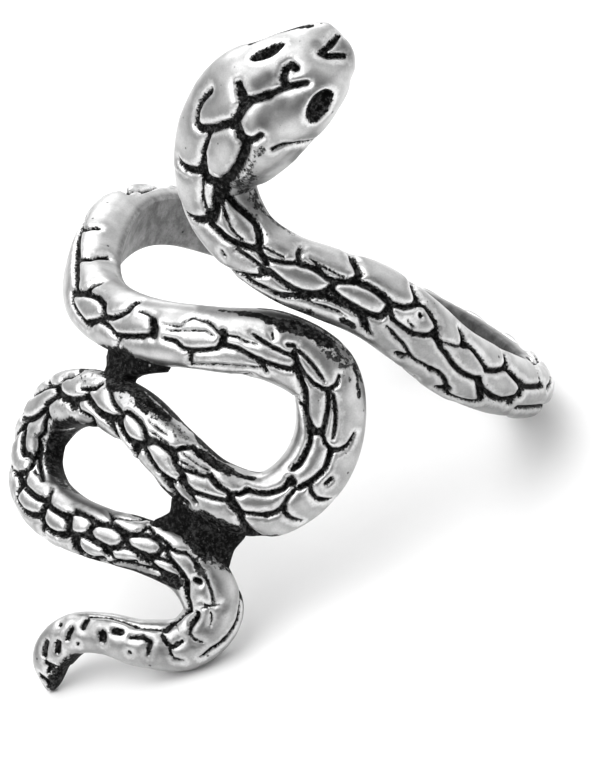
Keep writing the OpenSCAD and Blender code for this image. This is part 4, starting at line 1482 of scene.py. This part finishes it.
@dataclass
class Web(Casting):
    """Rough cast web between two runs of the body, left black in the casting.

    The rows are its two edges on the first run, then the same two edges on the second. The waist
    is how far each edge is drawn in at waist_at, as a share of half the width. The lumps' depths
    are shares of lump_mm. Lengths are in millimetres.
    """

    rows: tuple[float, float, float, float]
    waist: Pair
    waist_at: float = 0.5
    fillet: float = 0.15
    half_thick: float = 0.45
    flare: float = 0.3
    around: int = 160
    high: int = 110
    edge_power: float = 0.6
    face_power: float = 0.8
    waist_power: float = 1.4
    lumps: tuple[Ripple, ...] = (Ripple(1.0, 0.42), Ripple(0.5, 0.17, 9.1))
    lump_mm: float = 0.07
    oxide: float = 0.9
    glint: Ripple = Ripple(0.1, 0.3, 4.4)
    film: float = 0.6

    def build(self, skin: Skin, material: bpy.types.Material) -> bpy.types.Object:
        """Models the web as a flat tube between the two runs, drawn in at its waist.

        Args:
            skin: The snake's skin, for its axis and its grain.
            material: Its finish.

        Returns:
            The piece.
        """
        piece, x, v = self.lay_grid(self.around, self.high)
        turn = 2 * math.pi * x
        turn[x > 1 - 0.5 / self.around] = 0  # the last column closes on the first one
        wide = power(np.cos(turn), self.edge_power)
        thick = power(np.sin(turn), self.face_power)
        drawn_in = 1 - np.minimum(np.abs(v - self.waist_at) / self.fillet, 1) ** self.waist_power
        share = 0.5 + wide / 2 * (1 - np.where(wide < 0, *self.waist) * drawn_in)
        a0, a1, b0, b1 = self.rows
        near = skin.form.axis(a0 + (a1 - a0) * share)
        far = skin.form.axis(b0 + (b1 - b0) * share)
        middle = near + (far - near) * v[:, None]
        half = thick * (self.half_thick + self.flare * np.abs(2 * v - 1) ** 2)
        points = middle + unit(middle * (1, 1, 0)) * half[:, None]
        rough = sum(lump.at(skin.grain, points) for lump in self.lumps)
        points = points + self.lump_mm * rough[:, None] * unit(points - middle)
        oxide = np.clip(self.oxide - np.maximum(self.glint.at(skin.grain, points), 0), 0, 1)
        film = np.full(len(points), self.film)
        self.roll_up(piece, skin.rest.laid(points),
                     dict(zip(MARKS, (film, oxide, film, np.zeros(len(points))))))
        self.close()
        self.dress(piece, material)
        return piece


@dataclass(frozen=True)
class AntiquedSilver:
    """Sterling silver, cast, blackened with sulphide and then polished on its high places.

    The polish gives bright scales with a satin gleam. The oxide that it can't reach stays matt
    black, and thin grey film is left between the two.
    """

    silver: str = "E3E3E3"
    oxide: str = "060606"
    dusty_oxide: str = "4C4C4C"
    roughness: float = 0.34
    oxide_roughness: float = 0.55
    oxide_gloss: float = 0.05

    # Patterns with the size of their lumps. The fine pits, the specks and the dust are drawn
    # coarser than on real silver, where they would be too fine to show in the render.
    edge_grain: Cloud = Cloud(0.10, 2.0, 0.6)
    stain_grain: Cloud = Cloud(0.26, 4.0, 0.72)
    waves: Cloud = Cloud(0.9, 2.0, 0.5)
    fine_pits: Cloud = Cloud(0.07, 2.0, 0.6)
    cast_skin: Cloud = Cloud(0.5, 5.0, 0.75)
    dust_grain: Cloud = Cloud(0.14, 3.0, 0.7)
    speck_mm: float = 0.6

    # Share of black oxide: in grooves, in stained patches (one of them a painted dark reflection)
    # and in specks
    groove_edge: Ramp = Ramp(0.085, 0.135, 1.0, 0.0)
    patch_edge: Ramp = Ramp(0.94, 1.16, 0.0, 1.0)
    speck_edge: Ramp = Ramp(-0.02, 0.03, 0.0, 0.75)
    dust: Ramp = Ramp(0.92, 1.28, 0.0, 1.0)

    # Tone of the silver: rubbed edges, clouds, painted shade in the middle of a scale, open skin
    # that gets less of that shade, sand, inner face
    rubbed: Ramp = Ramp(-0.28, -0.04, 0.5, 1.0)
    cloudy: Ramp = Ramp(0.35, 0.6, 0.78, 1.0)
    # Painted shade: the middle of each scale is darkened, as if it mirrored the dark room in front
    # of it
    middle: Ramp = Ramp(-0.05, 0.18, 1.0, 0.60)
    open_skin: Ramp = Ramp(0.4, 0.85, 0.0, 0.16)
    sandy: Ramp = Ramp(0.35, 0.6, 0.88, 1.0)
    inner_mottle: Ramp = Ramp(0.32, 0.68, 0.32, 0.62)

    # Factor and offset of a pattern or mark, where it is added to another
    edge_wobble: Pair = (0.2, -0.1)
    stain_wobble: Pair = (1.7, -0.35)
    speck_size: Pair = (0.2, -0.06)
    tone_wobble: float = -0.5
    film_dims: Pair = (-0.8, 1.0)
    dulling: Pair = (0.14, -0.07)
    bore_dulls: float = 0.2
    film_dulls: float = 0.15

    # Bumps: strength, and height in millimetres
    wave_bump: Pair = (0.22, 0.05)
    pit_bump: Pair = (0.4, 0.01)

    def material(self) -> bpy.types.Material:
        """Makes the material from the marks gap, stain, film and bore on the mesh.

        Returns:
            The material.
        """
        made = bpy.data.materials.new("antiqued_silver")
        tree = new_tree(made)
        place = add_node(tree, "ShaderNodeTexCoord").outputs["Object"]
        gap, stain, film, bore = (
            add_node(tree, "ShaderNodeAttribute", {"attribute_name": name}).outputs["Fac"]
            for name in MARKS)
        edge, blotch, wave, pits, cast, grain = (
            add_node(tree, "ShaderNodeTexNoise", None, cloud.at(place))
            for cloud in (self.edge_grain, self.stain_grain, self.waves, self.fine_pits,
                          self.cast_skin, self.dust_grain))

        # Where the oxide is black: in the grooves, with a ragged edge, and in stained patches, one
        # of them a painted dark reflection along the head's upper edge
        wobble = add_node(tree, "ShaderNodeMath", TIMES_ADD, (edge, *self.edge_wobble))
        rough_gap = add_node(tree, "ShaderNodeMath", ADD, (gap, wobble))
        groove = add_node(tree, "ShaderNodeMapRange", SOFT, self.groove_edge.on(rough_gap))
        strong = add_node(tree, "ShaderNodeMath", TIMES_ADD, (blotch, *self.stain_wobble))
        spread = add_node(tree, "ShaderNodeMath", ADD, (strong, stain))
        patch = add_node(tree, "ShaderNodeMapRange", SOFT, self.patch_edge.on(spread))
        covered = add_node(tree, "ShaderNodeMath", LARGER, (groove, patch))

        # Dark specks of uneven size, which read as small casting pits
        cell = add_node(tree, "ShaderNodeTexVoronoi", None, {
            "Vector": place, "Scale": 1 / (self.speck_mm * MM)})
        size = add_node(tree, "ShaderNodeMath", TIMES_ADD, (
            cell.outputs["Color"], *self.speck_size))
        dot = add_node(tree, "ShaderNodeMath", MINUS, (size, cell.outputs["Distance"]))
        speck = add_node(tree, "ShaderNodeMapRange", SOFT, self.speck_edge.on(dot))
        black = add_node(tree, "ShaderNodeMath", LARGER, (covered, speck))

        # Tone of the silver: bright where the polish reaches, grey towards the grooves, and painted
        # shade in the middle of each scale
        ragged = add_node(tree, "ShaderNodeMath", TIMES_ADD, (blotch, self.tone_wobble, gap))
        rubbed = add_node(tree, "ShaderNodeMapRange", SOFT, self.rubbed.on(ragged))
        cloudy = add_node(tree, "ShaderNodeMapRange", None, self.cloudy.on(wave))
        # Painted shade in the middle of each scale, with less of it on wide open skin
        middle = add_node(tree, "ShaderNodeMapRange", SOFT, self.middle.on(ragged))
        wide = add_node(tree, "ShaderNodeMapRange", SOFT, self.open_skin.on(gap))
        high = add_node(tree, "ShaderNodeMath", ADD, (middle, wide))
        sandy = add_node(tree, "ShaderNodeMapRange", None, self.sandy.on(pits))
        # Darker, mottled tone on the inner face and under the belly
        inner_mottle = add_node(tree, "ShaderNodeMapRange", SOFT, self.inner_mottle.on(cast))
        inner_tone = add_node(tree, "ShaderNodeMix", MIX_VALUE, {0: bore, 2: 1.0, 3: inner_mottle})
        dimmed = add_node(tree, "ShaderNodeMath", TIMES_ADD, (film, *self.film_dims))
        shade = rubbed
        for share in (cloudy, high, sandy, inner_tone, dimmed):
            shade = add_node(tree, "ShaderNodeMath", TIMES, (shade, share))
        silver = add_node(tree, "ShaderNodeMix", TINT, {
            0: 1.0, 6: linear(self.silver), 7: shade})

        # Polishing dust on the oxide, which makes it a speckled dark grey where it lies open
        lumps = add_node(tree, "ShaderNodeMath", ADD, (grain, blotch))
        dust = add_node(tree, "ShaderNodeMapRange", SOFT, self.dust.on(lumps))
        dusted = add_node(tree, "ShaderNodeMath", TIMES, (dust, dimmed))
        crust = add_node(tree, "ShaderNodeMix", MIX_COLOUR, {
            0: dusted, 6: linear(self.oxide), 7: linear(self.dusty_oxide)})
        colour = add_node(tree, "ShaderNodeMix", MIX_COLOUR, {0: black, 6: silver, 7: crust})

        # Gloss: uneven on the silver, duller on the inner face and under film, dull on oxide
        uneven, less = self.dulling
        dull = add_node(tree, "ShaderNodeMath", TIMES_ADD, (
            blotch, uneven, self.roughness + less))
        bore_dull = add_node(tree, "ShaderNodeMath", TIMES_ADD, (bore, self.bore_dulls, dull))
        film_dull = add_node(tree, "ShaderNodeMath", TIMES_ADD, (film, self.film_dulls, bore_dull))
        roughness = add_node(tree, "ShaderNodeMix", MIX_VALUE, {
            0: black, 2: film_dull, 3: self.oxide_roughness})
        metal = add_node(tree, "ShaderNodeMath", TIMES_ADD, (black, -1.0, 1.0))

        # Uneven cast surface that the polish has only softened
        (soft, wave_mm), (sharp, pit_mm) = self.wave_bump, self.pit_bump
        swell = add_node(tree, "ShaderNodeBump", None, {
            "Strength": soft, "Distance": wave_mm * MM, "Height": wave})
        pitted = add_node(tree, "ShaderNodeBump", None, {
            "Strength": sharp, "Distance": pit_mm * MM, "Height": pits, "Normal": swell})
        skin = add_node(tree, "ShaderNodeBsdfPrincipled", None, {
            "Base Color": colour, "Metallic": metal, "Roughness": roughness,
            "Specular IOR Level": self.oxide_gloss, "Normal": pitted})
        add_node(tree, "ShaderNodeOutputMaterial", None, {"Surface": skin})
        return made


@dataclass(frozen=True)
class PaleCard:
    """Matt white card that the ring stands on: even and a little soft, with no gloss."""

    white: str = "F4F4F4"
    fibres: Cloud = Cloud(10 / 9, 2.0, 0.5)
    tone: Ramp = Ramp(0.0, 1.0, 0.985, 1.0)
    roughness: float = 0.9
    gloss: float = 0.1

    def material(self) -> bpy.types.Material:
        """Makes the material.

        Returns:
            The material.
        """
        made = bpy.data.materials.new("pale_card")
        tree = new_tree(made)
        place = add_node(tree, "ShaderNodeTexCoord").outputs["Object"]
        fibres = add_node(tree, "ShaderNodeTexNoise", None, self.fibres.at(place))
        tone = add_node(tree, "ShaderNodeMapRange", None, self.tone.on(fibres))
        colour = add_node(tree, "ShaderNodeMix", TINT, {0: 1.0, 6: linear(self.white), 7: tone})
        skin = add_node(tree, "ShaderNodeBsdfPrincipled", None, {
            "Base Color": colour, "Roughness": self.roughness, "Specular IOR Level": self.gloss})
        add_node(tree, "ShaderNodeOutputMaterial", None, {"Surface": skin})
        return made


class Lamp(Enum):
    """Soft lamps of the studio: place in metres, size, and power in watts."""

    KEY = ((-0.25, -0.15, 0.55), 0.80, 2.7)
    FILL = ((0.45, -0.25, 0.40), 0.60, 0.25)
    BACK = ((0.05, 0.50, 0.45), 0.70, 1.7)


@dataclass
class Studio:
    """Floor, light and camera. Lengths without a unit in their name are in metres."""

    rest: Rest
    floor_half: float = 1.2
    aim: tuple[float, float, float] = (0, 0, 0.01)
    azimuth: float = 20.0
    elevation: float = 10.0
    roll: float = 21.0
    distance_mm: float = 300.0
    px_per_mm: float = 23.1
    frame_px: tuple[int, int] = (600, 760)
    ring_px: tuple[float, float] = (312.0, 325.0)
    sensor_mm: float = 36.0
    sight: Span = (0.01, 5.0)
    tent: str = "FFFFFF"
    front: Ramp = Ramp(0.72, 0.97, 1.0, 0.35)
    over: Ramp = Ramp(0.1, 0.85, 0.0, 0.52)
    side: Ramp = Ramp(-0.5, 0.6, 0.68, 0.52)

    def lay_floor(self) -> None:
        """Lays the pale floor."""
        deselect()
        bpy.ops.mesh.primitive_plane_add(size=2 * self.floor_half, location=(0, 0, 0))
        floor = bpy.context.object
        floor.name = floor.data.name = "floor"
        floor.data.materials.append(PaleCard().material())

    def hang_lamps(self) -> None:
        """Hangs the soft lamps, each turned to the ring."""
        for lamp in Lamp:
            place, size, watts = lamp.value
            light = bpy.data.lights.new(lamp.name.lower(), "AREA")
            light.shape, light.size, light.energy = "DISK", size, watts
            holder = bpy.data.objects.new(lamp.name.lower(), light)
            bpy.context.collection.objects.link(holder)
            holder.location = place
            way = Vector(self.aim) - Vector(place)
            holder.rotation_euler = way.to_track_quat("-Z", "Y").to_euler()

    def light_room(self, axes: np.ndarray) -> None:
        """Lights the room: a pale tent, dim where the camera looks in and brighter overhead.

        Args:
            axes: Directions to the right of the ring, over it and out to the viewer.
        """
        world = bpy.data.worlds.new("tent")
        bpy.context.scene.world = world
        tree = new_tree(world)
        way = add_node(tree, "ShaderNodeTexCoord").outputs["Generated"]
        right, over, out = (add_node(tree, "ShaderNodeVectorMath", {"operation": "DOT_PRODUCT"},
                                     (way, tuple(axis))) for axis in axes)
        front = add_node(tree, "ShaderNodeMapRange", SOFT, self.front.on(out))
        high = add_node(tree, "ShaderNodeMapRange", SOFT, self.over.on(over))
        side = add_node(tree, "ShaderNodeMapRange", SOFT, self.side.on(right))
        sides = add_node(tree, "ShaderNodeMath", ADD, (side, high))
        glow = add_node(tree, "ShaderNodeMath", TIMES, (front, sides))
        air = add_node(tree, "ShaderNodeBackground", None, {
            "Color": linear(self.tent), "Strength": glow})
        add_node(tree, "ShaderNodeOutputWorld", None, {"Surface": air})

    def set_camera(self) -> np.ndarray:
        """Sets the camera at the photograph's angle to the ring.

        Returns:
            Directions to the right of the ring, over it and out to the camera.
        """
        a, e, r = (math.radians(d) for d in (self.azimuth, self.elevation, self.roll))
        back = np.array([math.sin(a) * math.cos(e), -math.cos(a) * math.cos(e), math.sin(e)])
        right = np.array([math.cos(a), math.sin(a), 0.0])
        up = np.cross(back, right)
        up, right = (math.cos(r) * up - math.sin(r) * right,
                     math.cos(r) * right + math.sin(r) * up)
        eye = back * self.distance_mm
        off = (np.array(self.frame_px) / 2 - np.array(self.ring_px)) / self.px_per_mm
        out = unit(eye - (right * off[0] - up * off[1]))
        right = unit(np.cross(up, out))
        data = bpy.data.cameras.new("camera")
        data.lens = self.px_per_mm * self.distance_mm * self.sensor_mm / max(self.frame_px)
        data.sensor_width, data.sensor_fit = self.sensor_mm, "AUTO"
        data.clip_start, data.clip_end = self.sight
        camera = bpy.data.objects.new("camera", data)
        bpy.context.collection.objects.link(camera)
        axes = self.rest.turned(np.array([right, np.cross(out, right), out]))
        place = self.rest.laid(eye)
        camera.matrix_world = Matrix([[*axes[:, i], place[i]] for i in range(3)] + [[0, 0, 0, 1]])
        bpy.context.scene.camera = camera
        bpy.context.scene.view_settings.view_transform = "Standard"
        return axes


def main() -> None:
    """Builds the ring's pieces in order, then the studio round them."""
    logging.basicConfig(level=logging.INFO, format="%(message)s")
    rest = Rest()
    skin = Skin(SnakeForm(), rest)
    log.info("skin: %d rings of %d points", *skin.v.shape)
    silver = AntiquedSilver().material()
    for part in (Stretch("head", -1, 7.0), Stretch("shank", 7.0, 17.0),
                 Stretch("band", 17.0, 26.0), Stretch("first_run", 26.0, 33.0),
                 Stretch("first_bend", 33.0, 40.0), Stretch("second_bend", 40.0, 47.0),
                 Stretch("tail", 47.0, 60.0),
                 Web("upper_web", (30.05, 31.5, 40.95, 39.8), (0.1, 0.98), waist_at=0.64,
                     fillet=0.22),
                 Web("lower_web", (38.5, 37.1, 47.8, 49.75), (0.15, 0.1))):
        piece = part.build(skin, silver)
        log.info("%s: %d faces", piece.name, len(piece.data.polygons))
    studio = Studio(rest)
    studio.lay_floor()
    studio.hang_lamps()
    axes = studio.set_camera()
    studio.light_room(axes)


if __name__ == "__main__":
    main()
